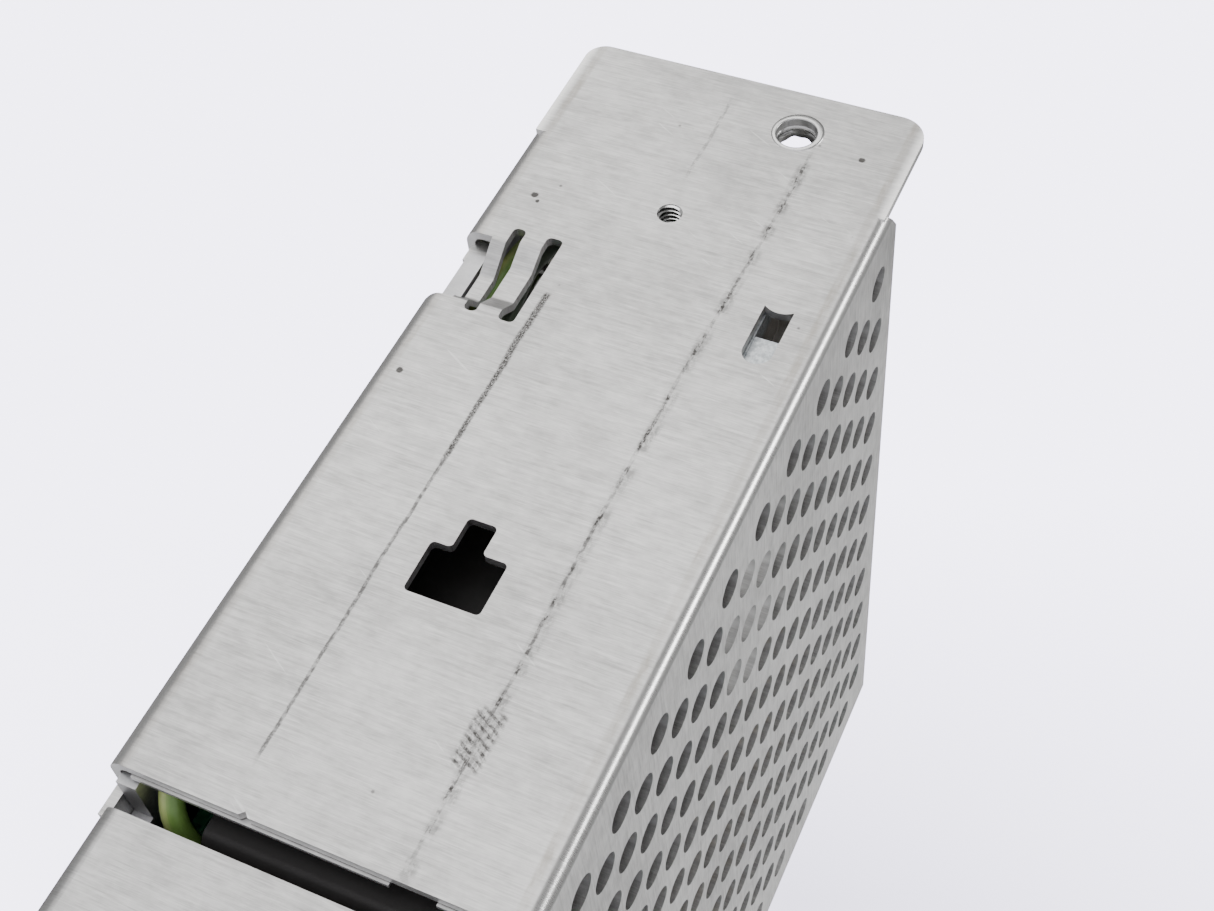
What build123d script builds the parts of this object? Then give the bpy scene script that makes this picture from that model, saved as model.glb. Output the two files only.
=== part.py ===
from build123d import *
import math
import os

# DIN rail power supply. Millimetres, +Z up as it hangs on the rail, rear (rail side) at +Y,
# terminals at the front (-Y). The origin is the middle of the footprint at the underside.

# ---- driving dimensions -------------------------------------------------------------------
WIDTH = 50.0                # across the two side walls
DEPTH = 122.0               # raised rear wall to the front edge of the side walls
SIDE_TOP = 166.2            # top edge of the side walls
TOP = 181.2                 # top edge of the mounting flange
SHEET = 1.2                 # aluminium of the chassis
COVER_SHEET = 1.0
BEND_NEAR = 1.5             # outer radius of the bend to the perforated side
BEND_FAR = 2.2              # outer radius of the bend to the plain side
RECESS = 4.3                # step from the raised rear wall to the rail seat
GAP_WRAP = 5.2              # how far the hook gap runs round into the side walls

HALF = WIDTH / 2
REAR = DEPTH / 2
SEAT = REAR - RECESS
INNER = HALF - SHEET

# ---- perforation: round holes on a square pattern turned by 45 degrees --------------------
PITCH = 10.0
HOLE_R = 2.4
FIRST_ROW = 160.0           # height of the top row
FIRST_COLUMN = REAR - 9.1   # the column beside the rear wall
ROWS = 31
COLUMNS = 22

# ---- rail interface -----------------------------------------------------------------------
GAP_TOP = 98.9              # the gap, measured down from the top row of holes
GAP_BOTTOM = 102.0
RAIL_BOTTOM = 27.8          # height of the latch seat under the 35 mm rail

# ---- terminals ----------------------------------------------------------------------------
POLES = 3
POLE_PITCH = 12.0
BLOCK_WIDTH = POLES * POLE_PITCH + 2.0
BLOCK_FRONT = -REAR + 0.4
BLOCK_BACK = -40.0

# ---- inside -------------------------------------------------------------------------------
BOARD_X = 17.2              # component face of the main board
BOARD = 1.6
SINK_X = 21.2               # inner face of the heat spreader on the plain wall
SINK = 2.5
GROUND_X, GROUND_Y, GROUND_Z = SINK_X, 46.0, 147.0

os.makedirs("parts", exist_ok=True)


def across(distance):
    """X of a place measured from the outer face of the perforated side."""
    return distance - HALF


def below(distance):
    """Z of a place measured down from the top row of holes."""
    return FIRST_ROW - distance


def save(piece, name):
    """Labels a finished piece and writes it."""
    piece.part.label = name
    export_step(piece.part, f"parts/{name}.step")


def block(x, y, z, mode=Mode.ADD):
    """A box from three (low, high) pairs."""
    middle = tuple((low + high) / 2 for low, high in (x, y, z))
    with Locations(middle):
        Box(x[1] - x[0], y[1] - y[0], z[1] - z[0], mode=mode)


def bar(start, direction, radius, length, mode=Mode.ADD):
    """A round bar that starts at a point and runs along a direction."""
    with BuildSketch(Plane(origin=start, z_dir=direction)) as section:
        Circle(radius)
    extrude(section.sketch, amount=length, mode=mode)


def ring(start, direction, outer, inner, length):
    """A tube that starts at a point and runs along a direction."""
    with BuildSketch(Plane(origin=start, z_dir=direction)) as section:
        Circle(outer)
        Circle(inner, mode=Mode.SUBTRACT)
    extrude(section.sketch, amount=length)


def channel(rear_y, bottom, top):
    """The chassis section seen from above: a rear wall and two side walls, open in front."""
    with BuildSketch(Plane.XY.offset(bottom)) as section:
        for inset, mode in ((0, Mode.ADD), (SHEET, Mode.SUBTRACT)):
            x = HALF - inset
            front = -REAR - inset
            corners = [(-x, front), (-x, rear_y - inset), (x, rear_y - inset), (x, front)]
            with BuildLine():
                FilletPolyline(*corners, radius=[BEND_NEAR - inset + 0.2, BEND_FAR - inset + 0.2])
                Line(corners[-1], corners[0])
            make_face(mode=mode)
    extrude(section.sketch, amount=top - bottom)


def rear_window(near, far, top, bottom, radius):
    """A window in the raised rear wall, from distances across and down, with round corners."""
    with BuildSketch(Plane.XZ.offset(-REAR - 1)) as window:
        with Locations(((across(near) + across(far)) / 2, (below(top) + below(bottom)) / 2)):
            RectangleRounded(far - near, bottom - top, radius)
    extrude(window.sketch, amount=SHEET + 2, mode=Mode.SUBTRACT)


def pressed_strip(near, far, steps):
    """A strip of the rear wall pressed inwards: (down, depth) places of its outer face."""
    outer = [(REAR - depth, below(down)) for down, depth in steps]
    inner = [(y - SHEET, z) for y, z in reversed(outer)]
    with BuildSketch(Plane.YZ.offset(across(near))) as profile:
        with BuildLine():
            Polyline(*outer, *inner, close=True)
        make_face()
        folds = [
            vertex
            for vertex in profile.vertices()
            if any(abs(vertex.Y - below(down)) < 0.01 for down, depth in steps[1:-1])
        ]
        fillet(folds, radius=0.9)
    extrude(profile.sketch, amount=far - near)


# ==== case =================================================================================

SLOT_TOP, SLOT_BOTTOM = 14.9, 29.6
STRIP_TOP, STRIP_BOTTOM = 16.6, 28.4
NOTCH_TOP, NOTCH_BOTTOM = 17.3, 28.3
NOTCH_DEPTH = 4.7

with BuildPart() as chassis:
    channel(REAR, below(GAP_TOP), SIDE_TOP)
    channel(SEAT, 0, below(GAP_BOTTOM))
    for wall in ((-HALF, -INNER), (INNER, HALF)):
        block(wall, (-REAR, REAR - GAP_WRAP), (below(GAP_BOTTOM) - 1, below(GAP_TOP) + 1))

    # the top rear corner of each side wall is cut at a slant, clear of the flange
    with BuildSketch(Plane.YZ.offset(-HALF - 1)):
        with BuildLine():
            corner = [(REAR + 1, 162.6), (REAR + 1, SIDE_TOP + 1), (REAR - 5.4, SIDE_TOP + 1)]
            Polyline(*corner, close=True)
        make_face()
    extrude(amount=WIDTH + 2, mode=Mode.SUBTRACT)

    # the rear wall runs on above the sides as the mounting flange
    flange_foot = below(-2.6)
    with BuildSketch(Plane.XZ.offset(-REAR)) as flange:
        with Locations((0, (TOP + flange_foot) / 2)):
            Rectangle(WIDTH - 1.0, TOP - flange_foot)
        fillet(flange.vertices().group_by(Axis.Y)[-1].sort_by(Axis.X)[0], radius=4.0)
        fillet(flange.vertices().group_by(Axis.Y)[-1].sort_by(Axis.X)[-1], radius=2.8)
    extrude(amount=SHEET)

    # perforated side
    with BuildSketch(Plane.YZ.offset(-HALF - 1)):
        places = [
            (FIRST_COLUMN - column * PITCH / 2, FIRST_ROW - row * PITCH / 2)
            for column in range(COLUMNS)
            for row in range(ROWS)
            if (column + row) % 2 == 0
        ]
        with Locations(*places):
            Circle(HOLE_R)
    extrude(amount=SHEET + 2, mode=Mode.SUBTRACT)

    # flange screw hole with broken edges
    hole_x, hole_z = across(16.5), below(-13.6)
    bar((hole_x, REAR + 1, hole_z), (0, -1, 0), 2.75, SHEET + 2, Mode.SUBTRACT)

    # pulled and tapped collar, M4, bored at its minor diameter
    tap_x, tap_z = across(26.3), below(5.7)
    bar((tap_x, REAR - 0.2, tap_z), (0, -1, 0), 3.1, 4.0)
    bar((tap_x, REAR + 1, tap_z), (0, -1, 0), 1.65, 7, Mode.SUBTRACT)

    # oblong slot: its top edge bulges into it between square corners, its bottom is round
    slot_x = across(7.3)
    with BuildSketch(Plane.XZ.offset(-REAR - 1)):
        with Locations((slot_x, below(19.6))):
            Rectangle(3.8, 7.2)
        with Locations((slot_x, below(23.2))):
            Circle(1.9)
        with Locations((slot_x, below(16.0) + 2.4)):
            Circle(3.06, mode=Mode.SUBTRACT)
    extrude(amount=SHEET + 2, mode=Mode.SUBTRACT)

    # two slots and the two strips between and beside them, pressed in as wire bridges
    rear_window(36.9, 39.1, SLOT_TOP, SLOT_BOTTOM, 0.7)
    rear_window(42.1, 43.85, SLOT_TOP, SLOT_BOTTOM, 0.7)
    block((across(39.0), across(42.2)), (REAR - 3, REAR + 1), (below(STRIP_BOTTOM), below(STRIP_TOP)),
          Mode.SUBTRACT)
    # the notch beside them takes the corner bend away, with a round lower corner
    with BuildSketch(Plane.XZ.offset(-REAR - 1)):
        with BuildLine():
            Polyline(
                (across(47.4), below(NOTCH_BOTTOM)),
                (across(43.8), below(NOTCH_BOTTOM)),
                (across(43.8), below(NOTCH_TOP)),
                (across(51.0), below(NOTCH_TOP)),
                (across(51.0), below(NOTCH_BOTTOM + 3.0)),
                (across(50.4), below(NOTCH_BOTTOM + 3.0)),
            )
            RadiusArc(
                (across(50.4), below(NOTCH_BOTTOM + 3.0)), (across(47.4), below(NOTCH_BOTTOM)), -3.0
            )
        make_face()
    extrude(amount=NOTCH_DEPTH + 1, mode=Mode.SUBTRACT)
    # the side wall is turned in behind the top of the notch
    block((across(46.4), INNER + 0.4), (REAR - 3.8, REAR - 2.6), (below(20.2), below(16.5)))
    pressed_strip(39.1, 42.1, [(16.4, 0), (17.0, 0), (20.3, 1.6), (25.5, 1.6), (28.0, 0), (28.6, 0)])
    pressed_strip(43.85, 45.9, [(16.9, 0), (17.6, 0), (21.8, 2.7), (26.0, 2.7), (28.0, 0), (28.8, 0)])

    # keyed window for a wall bracket
    with BuildSketch(Plane.XZ.offset(-REAR - 1)) as keyed:
        with BuildLine():
            Polyline(
                (across(21.4), below(68.7)),
                (across(30.9), below(68.7)),
                (across(30.9), below(61.8)),
                (across(28.4), below(61.8)),
                (across(28.4), below(57.5)),
                (across(24.7), below(57.5)),
                (across(24.7), below(61.5)),
                (across(21.4), below(61.5)),
                close=True,
            )
        make_face()
        fillet(keyed.vertices(), radius=0.6)
    extrude(amount=SHEET + 2, mode=Mode.SUBTRACT)

    # a nick in the hook edge
    with BuildSketch(Plane.XZ.offset(-REAR - 1)):
        with Locations((across(32.9), below(GAP_TOP))):
            Rectangle(0.8, 0.8, rotation=45)
    extrude(amount=SHEET + 2, mode=Mode.SUBTRACT)

    # rivet holes of the latch guides, and the lanced stop that the spring stands on
    RIVETS = [(side * 18.1, z) for side in (-1, 1) for z in (11.0, 21.0)]
    for x, z in RIVETS:
        bar((x, SEAT + 1, z), (0, -1, 0), 1.35, SHEET + 2, Mode.SUBTRACT)
    block((-2.5, 2.5), (SEAT - 0.5, SEAT + 3.5), (12.2, 13.4))

    # countersunk holes of the heat spreader in the plain side
    WALL_SCREWS = [(y, z) for y in (-36.0, 34.0) for z in (22.0, 138.0)]
    for y, z in WALL_SCREWS:
        bar((HALF + 1, y, z), (-1, 0, 0), 1.7, SHEET + 2, Mode.SUBTRACT)
        with Locations(Plane(origin=(HALF, y, z), z_dir=(-1, 0, 0))):
            Cone(3.1, 2.0, 0.9, align=(Align.CENTER, Align.CENTER, Align.MIN), mode=Mode.SUBTRACT)
    # countersunk holes of the cover, near the front edge of the plain side
    COVER_SCREWS = [(-54.5, z) for z in (36.0, 83.0, 130.0)]
    for y, z in COVER_SCREWS:
        bar((HALF + 1, y, z), (-1, 0, 0), 1.7, SHEET + 2, Mode.SUBTRACT)
        with Locations(Plane(origin=(HALF, y, z), z_dir=(-1, 0, 0))):
            Cone(3.1, 2.0, 0.9, align=(Align.CENTER, Align.CENTER, Align.MIN), mode=Mode.SUBTRACT)
save(chassis, "chassis")

COVER_HALF = INNER - 0.1
COVER_TOP = SIDE_TOP - 0.2
COVER_REAR = REAR - SHEET - 0.2
COVER_FOOT = SEAT - SHEET - 0.2
BLOCK_HEIGHT = 27.0
LED_PLACE = (-13.0, 126.0)
TRIM_PLACE = (9.0, 126.0)
VENT_X = [-15.0 + 5.0 * step for step in range(7)]
VENT_Y = [-30.0 + 5.0 * step for step in range(17)]

with BuildPart() as front_cover:
    # one sheet: underside, front and top
    with BuildSketch(Plane.YZ.offset(-COVER_HALF)):
        for inset, mode in ((0, Mode.ADD), (COVER_SHEET, Mode.SUBTRACT)):
            front = -REAR + 0.2 + inset
            foot = COVER_FOOT + inset
            back = COVER_REAR + inset
            with BuildLine():
                FilletPolyline(
                    (foot, inset), (front, inset), (front, COVER_TOP - inset), (back, COVER_TOP - inset),
                    radius=2.0 - inset,
                )
                Polyline((back, COVER_TOP - inset), (back, 90), (foot, 90), (foot, inset))
            make_face(mode=mode)
    extrude(amount=2 * COVER_HALF)
    rear_corners = [edge for edge in front_cover.edges().filter_by(Axis.Z) if edge.center().Y > 50]
    fillet(rear_corners, radius=1.7)
    # side lips turned back from the front sheet
    for lip in ((-COVER_HALF, -COVER_HALF + COVER_SHEET), (COVER_HALF - COVER_SHEET, COVER_HALF)):
        block(lip, (-REAR + 0.5, -REAR + 11), (31, COVER_TOP - 31))
    for y, z in COVER_SCREWS:
        bar((COVER_HALF + 1, y, z), (-1, 0, 0), 1.25, COVER_SHEET + 2, Mode.SUBTRACT)
    # corner openings that the terminal blocks stand in
    opening = BLOCK_WIDTH / 2 + 0.2
    for low in (-1, COVER_TOP - BLOCK_HEIGHT - 0.4):
        block((-opening, opening), (-REAR - 1, BLOCK_BACK + 0.2), (low, low + BLOCK_HEIGHT + 1.4),
              Mode.SUBTRACT)
    # light and trimmer openings
    for x, z in (LED_PLACE, TRIM_PLACE):
        radius = 1.7 if (x, z) == LED_PLACE else 3.4
        bar((x, -REAR - 1, z), (0, 1, 0), radius, 4, Mode.SUBTRACT)
    # vent holes in the underside and the top
    with BuildSketch(Plane.XY.offset(-1)):
        vents = [
            (x, y)
            for i, x in enumerate(VENT_X)
            for j, y in enumerate(VENT_Y)
            if (i + j) % 2 == 0
        ]
        with Locations(*vents):
            Circle(HOLE_R)
    extrude(amount=TOP, mode=Mode.SUBTRACT)
save(front_cover, "front_cover")

with BuildPart() as cover_screws:
    for y, z in COVER_SCREWS:
        with Locations(Plane(origin=(HALF - 0.02, y, z), z_dir=(-1, 0, 0))):
            Cone(2.75, 1.55, 0.95, align=(Align.CENTER, Align.CENTER, Align.MIN))
        bar((HALF - 0.9, y, z), (-1, 0, 0), 1.22, 4.6)
        block((HALF - 0.4, HALF), (y - 0.35, y + 0.35), (z - 1.9, z + 1.9), Mode.SUBTRACT)
        block((HALF - 0.4, HALF), (y - 1.9, y + 1.9), (z - 0.35, z + 0.35), Mode.SUBTRACT)
save(cover_screws, "cover_screws")

LINER_REAR = REAR - SHEET - 0.15
LINER = 0.5
LINER_FOOT = GAP_TOP + 0.35
with BuildPart() as rear_liner:
    with BuildSketch(Plane.XZ.offset(-LINER_REAR)) as liner:
        with Locations((0, (below(33.0) + below(LINER_FOOT)) / 2)):
            Rectangle(44.0, LINER_FOOT - 33.0)
        with Locations((across(26.1), below(63.0))):
            Rectangle(13.0, 14.0, mode=Mode.SUBTRACT)
        with Locations((across(13.3), below(LINER_FOOT))):
            Rectangle(5.4, 2.0, mode=Mode.SUBTRACT)
    extrude(amount=LINER)
save(rear_liner, "rear_liner")

BRACKET_REAR = REAR - SHEET - 0.05
with BuildPart() as rear_bracket:
    # a tongue behind the oblong slot, a web beside it and a plate further in
    block((across(4.6), across(9.0)), (BRACKET_REAR - 1.5, BRACKET_REAR - 0.5), (below(32.0), below(19.7)))
    block((across(9.0), across(9.8)), (BRACKET_REAR - 7.5, BRACKET_REAR - 0.2), (below(32.0), below(12.0)))
    block((across(4.6), across(11.0)), (BRACKET_REAR - 8.0, BRACKET_REAR), (below(32.8), below(31.8)))
    block((across(3.6), across(11.0)), (BRACKET_REAR - 8.0, BRACKET_REAR - 7.0), (below(32.8), below(8.0)))
save(rear_bracket, "rear_bracket")

with BuildPart() as side_spacer:
    # foam block between the perforated side and the upper edge of the control board
    block((-INNER + 0.1, -13.0), (24.0, 49.0), (109.0, 124.0))
    fillet(side_spacer.edges().filter_by(Axis.X), radius=1.5)
save(side_spacer, "side_spacer")

with BuildPart() as rail_seat:
    # smooth moulding that the upper edge of the rail rests against, with a barrier above it
    with BuildSketch(Plane.YZ.offset(-22.0)) as seat_profile:
        with BuildLine():
            Polyline(
                (50, 50), (55.2, 50), (55.2, 58.2), (56.5, 59.4), (56.5, 66), (53.6, 76), (52.0, 80),
                (52.0, 107), (50, 107), close=True,
            )
        make_face()
        fillet(seat_profile.vertices().sort_by(Axis.X)[-2:], radius=1.0)
    extrude(amount=35.0)
    # a raised line across the barrier that stands behind the keyed window
    block((-12.0, 10.0), (51.8, 52.4), (94.6, 95.0))
save(rail_seat, "rail_seat")

# ==== rail latch ===========================================================================

with BuildPart() as din_latch:
    with BuildSketch(Plane.YZ.offset(-14.0)) as latch_profile:
        low, high = SEAT + 0.2, SEAT + 2.7
        nose = SEAT + 1.3
        with BuildLine():
            Polyline(
                (low, 6.0), (high, 6.0), (high + 0.9, RAIL_BOTTOM - 2.5), (high + 0.9, RAIL_BOTTOM + 0.6),
                (nose + 0.6, RAIL_BOTTOM + 2.2), (nose, RAIL_BOTTOM + 2.2), (nose, RAIL_BOTTOM),
                (low, RAIL_BOTTOM), close=True,
            )
        make_face()
    extrude(amount=28.0)
    block((-16.0, 16.0), (SEAT + 0.2, SEAT + 1.7), (9.0, 23.8))
    # window for the spring, and a slot for a screwdriver blade
    block((-3.2, 3.2), (SEAT - 1, REAR), (11.0, 24.0), Mode.SUBTRACT)
    block((-4.0, 4.0), (SEAT - 1, REAR), (7.3, 9.2), Mode.SUBTRACT)
    # relief beside the hook
    for side in (-1, 1):
        block(tuple(sorted((side * 11.0, side * 15.0))), (SEAT, REAR), (RAIL_BOTTOM, RAIL_BOTTOM + 4),
              Mode.SUBTRACT)
save(din_latch, "din_latch")

SPRING_FOOT, SPRING_HEAD = 13.5, 23.9
with BuildPart() as latch_spring:
    wire = 0.3
    turns = 6
    radius = 1.3
    rise = SPRING_HEAD - SPRING_FOOT - 2 * wire
    spring_axis = Plane(origin=(0, SEAT + 1.9, SPRING_FOOT + wire))
    with BuildLine(spring_axis) as coil:
        Helix(pitch=rise / turns, height=rise, radius=radius)
    with BuildSketch(Plane(origin=coil.line @ 0, z_dir=coil.line % 0)):
        Circle(wire)
    sweep(is_frenet=True)
save(latch_spring, "latch_spring")

with BuildPart() as latch_guides:
    for side in (-1, 1):
        base = tuple(sorted((side * 16.2, side * 20.0)))
        lip = tuple(sorted((side * 14.3, side * 16.3)))
        block(base, (SEAT, SEAT + 2.9), (8.0, 26.0))
        block(lip, (SEAT + 1.9, SEAT + 2.9), (8.0, 23.0))
        block(lip, (SEAT, SEAT + 2.9), (24.0, 26.0))
    for x, z in RIVETS:
        bar((x, SEAT + 4, z), (0, -1, 0), 1.35, 6, Mode.SUBTRACT)
save(latch_guides, "latch_guides")

with BuildPart() as latch_rivets:
    for x, z in RIVETS:
        bar((x, SEAT + 2.9, z), (0, -1, 0), 1.3, 2.9 + SHEET)
        bar((x, SEAT + 2.9, z), (0, 1, 0), 1.7, 0.7)
        bar((x, SEAT - SHEET, z), (0, -1, 0), 1.9, 0.7)
    fillet(latch_rivets.edges().group_by(Axis.Y)[-1], radius=0.5)
save(latch_rivets, "latch_rivets")

# ==== heat spreader and main board =========================================================

BOARD_SCREWS = [(y, z) for y in (-30.0, 42.0) for z in (14.0, 132.0)]
with BuildPart() as wall_heat_sink:
    with BuildSketch(Plane.YZ.offset(SINK_X)) as sink_face:
        with BuildLine():
            Polyline(
                (-44, 12), (52, 12), (52, 60), (58.7, 60), (58.7, below(19.0)), (54, below(19.0)),
                (54, 152), (-44, 152), close=True,
            )
        make_face()
        with Locations(*WALL_SCREWS):
            Circle(1.25, mode=Mode.SUBTRACT)
        with Locations(*BOARD_SCREWS):
            Circle(1.25, mode=Mode.SUBTRACT)
        with Locations((GROUND_Y, GROUND_Z)):
            Circle(1.65, mode=Mode.SUBTRACT)
    extrude(amount=SINK)
save(wall_heat_sink, "wall_heat_sink")

with BuildPart() as wall_screws:
    for y, z in WALL_SCREWS:
        with Locations(Plane(origin=(HALF - 0.02, y, z), z_dir=(-1, 0, 0))):
            Cone(2.75, 1.55, 0.95, align=(Align.CENTER, Align.CENTER, Align.MIN))
        bar((HALF - 0.9, y, z), (-1, 0, 0), 1.22, 3.0)
        block((HALF - 0.4, HALF), (y - 0.35, y + 0.35), (z - 1.9, z + 1.9), Mode.SUBTRACT)
        block((HALF - 0.4, HALF), (y - 1.9, y + 1.9), (z - 0.35, z + 0.35), Mode.SUBTRACT)
save(wall_screws, "wall_screws")

with BuildPart() as main_board:
    with BuildSketch(Plane.YZ.offset(BOARD_X)):
        with BuildLine():
            Polyline(
                (-38, 8), (50, 8), (53, 11), (53, 54), (48.5, 54), (48.5, 68), (53, 68), (53, 138),
                (38, 138), (38, 158), (-38, 158), (-38, 134), (-50.6, 134), (-50.6, 116), (-38, 116),
                close=True,
            )
        make_face()
        with Locations(*BOARD_SCREWS):
            Circle(1.7, mode=Mode.SUBTRACT)
    extrude(amount=BOARD)
save(main_board, "main_board")

with BuildPart() as board_spacers:
    for y, z in BOARD_SCREWS:
        ring((BOARD_X + BOARD, y, z), (1, 0, 0), 2.8, 1.6, SINK_X - BOARD_X - BOARD)
save(board_spacers, "board_spacers")

with BuildPart() as board_screws:
    for y, z in BOARD_SCREWS:
        bar((BOARD_X, y, z), (-1, 0, 0), 2.7, 2.0)
        bar((BOARD_X, y, z), (1, 0, 0), 1.22, 5.6)
        block((BOARD_X - 3, BOARD_X - 1.2), (y - 0.4, y + 0.4), (z - 1.7, z + 1.7), Mode.SUBTRACT)
        block((BOARD_X - 3, BOARD_X - 1.2), (y - 1.7, y + 1.7), (z - 0.4, z + 0.4), Mode.SUBTRACT)
save(board_screws, "board_screws")

# ==== power parts on the component face ====================================================


def on_board(y, z):
    """A sketch plane on the component face whose normal points away from the board."""
    return Plane(origin=(BOARD_X, y, z), x_dir=(0, 1, 0), z_dir=(-1, 0, 0))


with BuildPart() as input_capacitors:
    for place_y in (-20.0, 5.0):
        with BuildSketch(on_board(place_y, 43.5)):
            Circle(11.0)
        extrude(amount=36.0)
    fillet(input_capacitors.edges().filter_by(GeomType.CIRCLE), radius=1.0)
    for place_y in (-20.0, 5.0):
        # the rolled groove near the foot of the can
        with BuildSketch(Plane(origin=(BOARD_X - 3.5, place_y, 43.5), z_dir=(-1, 0, 0))):
            Circle(12.0)
            Circle(10.3, mode=Mode.SUBTRACT)
        extrude(amount=1.2, mode=Mode.SUBTRACT)
save(input_capacitors, "input_capacitors")

CORE_Y, CORE_Z = (-17.0, 17.0), (66.0, 100.0)
CORE_X = (-9.0, 9.0)
with BuildPart() as transformer_core:
    block(CORE_X, CORE_Y, CORE_Z)
    for window in ((-12.0, -5.2), (5.2, 12.0)):
        block((-10, 10), window, (71.0, 95.0), Mode.SUBTRACT)
save(transformer_core, "transformer_core")

with BuildPart() as transformer_winding:
    block((-14.5, 14.5), (-11.7, 11.7), (71.6, 94.4))
    fillet(transformer_winding.edges().filter_by(Axis.Z), radius=4.0)
    block((-9.3, 9.3), (-4.9 - 0.5, 5.4), (70, 96), Mode.SUBTRACT)
save(transformer_winding, "transformer_winding")

with BuildPart() as transformer_bobbin:
    # pin rail between the winding and the board, with two rows of pins
    block((14.6, BOARD_X - 0.1), (-14.0, 14.0), (69.0, 97.0))
    for y in (-10.0, -5.0, 0.0, 5.0, 10.0):
        for z in (70.5, 95.5):
            block((13.2, 14.8), (y - 0.6, y + 0.6), (z - 0.6, z + 0.6))
save(transformer_bobbin, "transformer_bobbin")

DEVICE_Z = (70.0, 84.0, 98.0)


def power_device(y, facing, z):
    """A flat moulded device with a metal tab, lying against a sink on its side at y."""
    step = 1 if facing > 0 else -1
    body = tuple(sorted((y + step * 1.3, y + step * 4.6)))
    tab = tuple(sorted((y, y + step * 1.3)))
    block((-2.0, 7.5), body, (z - 5, z + 5))
    block((-9.0, 7.5), tab, (z - 5, z + 5))
    for offset in (-2.5, 0.0, 2.5):
        block((7.4, BOARD_X), tuple(sorted((y + step * 1.9, y + step * 2.5))),
              (z + offset - 0.4, z + offset + 0.4))


with BuildPart() as device_heat_sinks:
    for sink_y in (-25.5, 24.5):
        block((-18.0, BOARD_X - 0.2), (sink_y - 1.5, sink_y + 1.5), (62.0, 106.0))
        # fins at the edge that faces the perforated side
        for fin in range(7):
            z = 62.0 + fin * 7.1
            block((-21.0, -18.0), (sink_y - 4.0, sink_y + 4.0), (z, z + 1.4))
        block((-18.5, -17.0), (sink_y - 4.0, sink_y + 4.0), (62.0, 106.0))
save(device_heat_sinks, "device_heat_sinks")

with BuildPart() as power_transistors:
    for z in DEVICE_Z:
        power_device(-27.05, -1, z)
save(power_transistors, "power_transistors")

with BuildPart() as output_diodes:
    for z in DEVICE_Z[:2]:
        power_device(26.05, 1, z)
save(output_diodes, "output_diodes")

with BuildPart() as output_capacitors:
    for y in (-28.0, -16.5):
        for z in (112.0, 124.0):
            with BuildSketch(on_board(y, z)):
                Circle(5.0)
            extrude(amount=22.0)
            with BuildSketch(Plane(origin=(BOARD_X - 2.4, y, z), z_dir=(-1, 0, 0))):
                Circle(6.0)
                Circle(4.6, mode=Mode.SUBTRACT)
            extrude(amount=0.9, mode=Mode.SUBTRACT)
save(output_capacitors, "output_capacitors")


def toroid(y, z, near, far, outer, inner):
    """A ring core with rounded edges, its axis across the board."""
    ring((far, y, z), (-1, 0, 0), outer, inner, far - near)


def winding(y, z, near, far, outer, inner, first, last, count, wire):
    """Turns of round wire about a ring core: closed loops from one angle to another."""
    for turn in range(count):
        angle = math.radians(first + (last - first) * turn / (count - 1))
        out = (math.cos(angle), math.sin(angle))
        middle = (outer + inner) / 2
        plane = Plane(
            origin=((near + far) / 2, y + out[0] * middle, z + out[1] * middle),
            x_dir=(0, out[0], out[1]),
            z_dir=(0, -out[1], out[0]),
        )
        across_ring = outer - inner + 2 * wire + 0.4
        along_axis = far - near + 2 * wire + 0.4
        with BuildSketch(plane) as turn_face:
            RectangleRounded(across_ring, along_axis, 0.9)
            RectangleRounded(across_ring - 2 * wire, along_axis - 2 * wire, 0.4, mode=Mode.SUBTRACT)
        extrude(turn_face.sketch, amount=wire / 2, both=True)


CHOKES = {
    "output_choke": (8.0, 120.0, 3.0, 13.0, 11.5, 6.5, 20.0, 340.0, 18, 1.1),
    "line_choke": (-20.0, 19.0, 4.0, 13.0, 9.5, 5.5, 0.0, 330.0, 16, 0.9),
}
for choke_name, (y, z, near, far, outer, inner, first, last, count, wire) in CHOKES.items():
    with BuildPart() as choke_core:
        toroid(y, z, near, far, outer, inner)
        fillet(choke_core.edges(), radius=1.0)
    save(choke_core, f"{choke_name}_core")
    with BuildPart() as choke_winding:
        winding(y, z, near, far, outer, inner, first, last, count, wire)
    save(choke_winding, f"{choke_name}_winding")

with BuildPart() as x_capacitors:
    for low in (9.5, 21.0):
        block((0.0, BOARD_X - 0.1), (-7.5, 11.0), (low, low + 9.5))
    fillet(x_capacitors.edges().filter_by(Axis.X), radius=0.8)
save(x_capacitors, "x_capacitors")

with BuildPart() as varistor:
    bar((6.5, 22.0, 20.0), (0, 1, 0), 7.0, 4.5)
    fillet(varistor.edges(), radius=1.6)
    for z in (16.4, 23.6):
        bar((BOARD_X, 24.2, z), (-1, 0, 0), 0.45, 6.0)
save(varistor, "varistor")

with BuildPart() as line_fuse:
    # glass tube with two end caps, standing off the board in clips
    bar((9.5, 37.0, 12.0), (0, 0, 1), 2.4, 20.0)
    for z in (12.0, 26.6):
        bar((9.5, 37.0, z), (0, 0, 1), 2.6, 5.4)
        block((9.5, BOARD_X), (36.0, 38.0), (z + 1.2, z + 4.2))
save(line_fuse, "line_fuse")

with BuildPart() as inrush_relay:
    block((1.0, BOARD_X - 0.1), (30.0, 47.0), (36.5, 52.0))
    fillet(inrush_relay.edges().filter_by(Axis.X), radius=0.8)
save(inrush_relay, "inrush_relay")

with BuildPart() as bridge_rectifier:
    block((-3.0, 12.0), (22.0, 26.0), (36.0, 56.0))
    for z in (38.5, 43.5, 48.5, 53.5):
        block((11.8, BOARD_X), (23.6, 24.4), (z - 0.5, z + 0.5))
save(bridge_rectifier, "bridge_rectifier")

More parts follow.
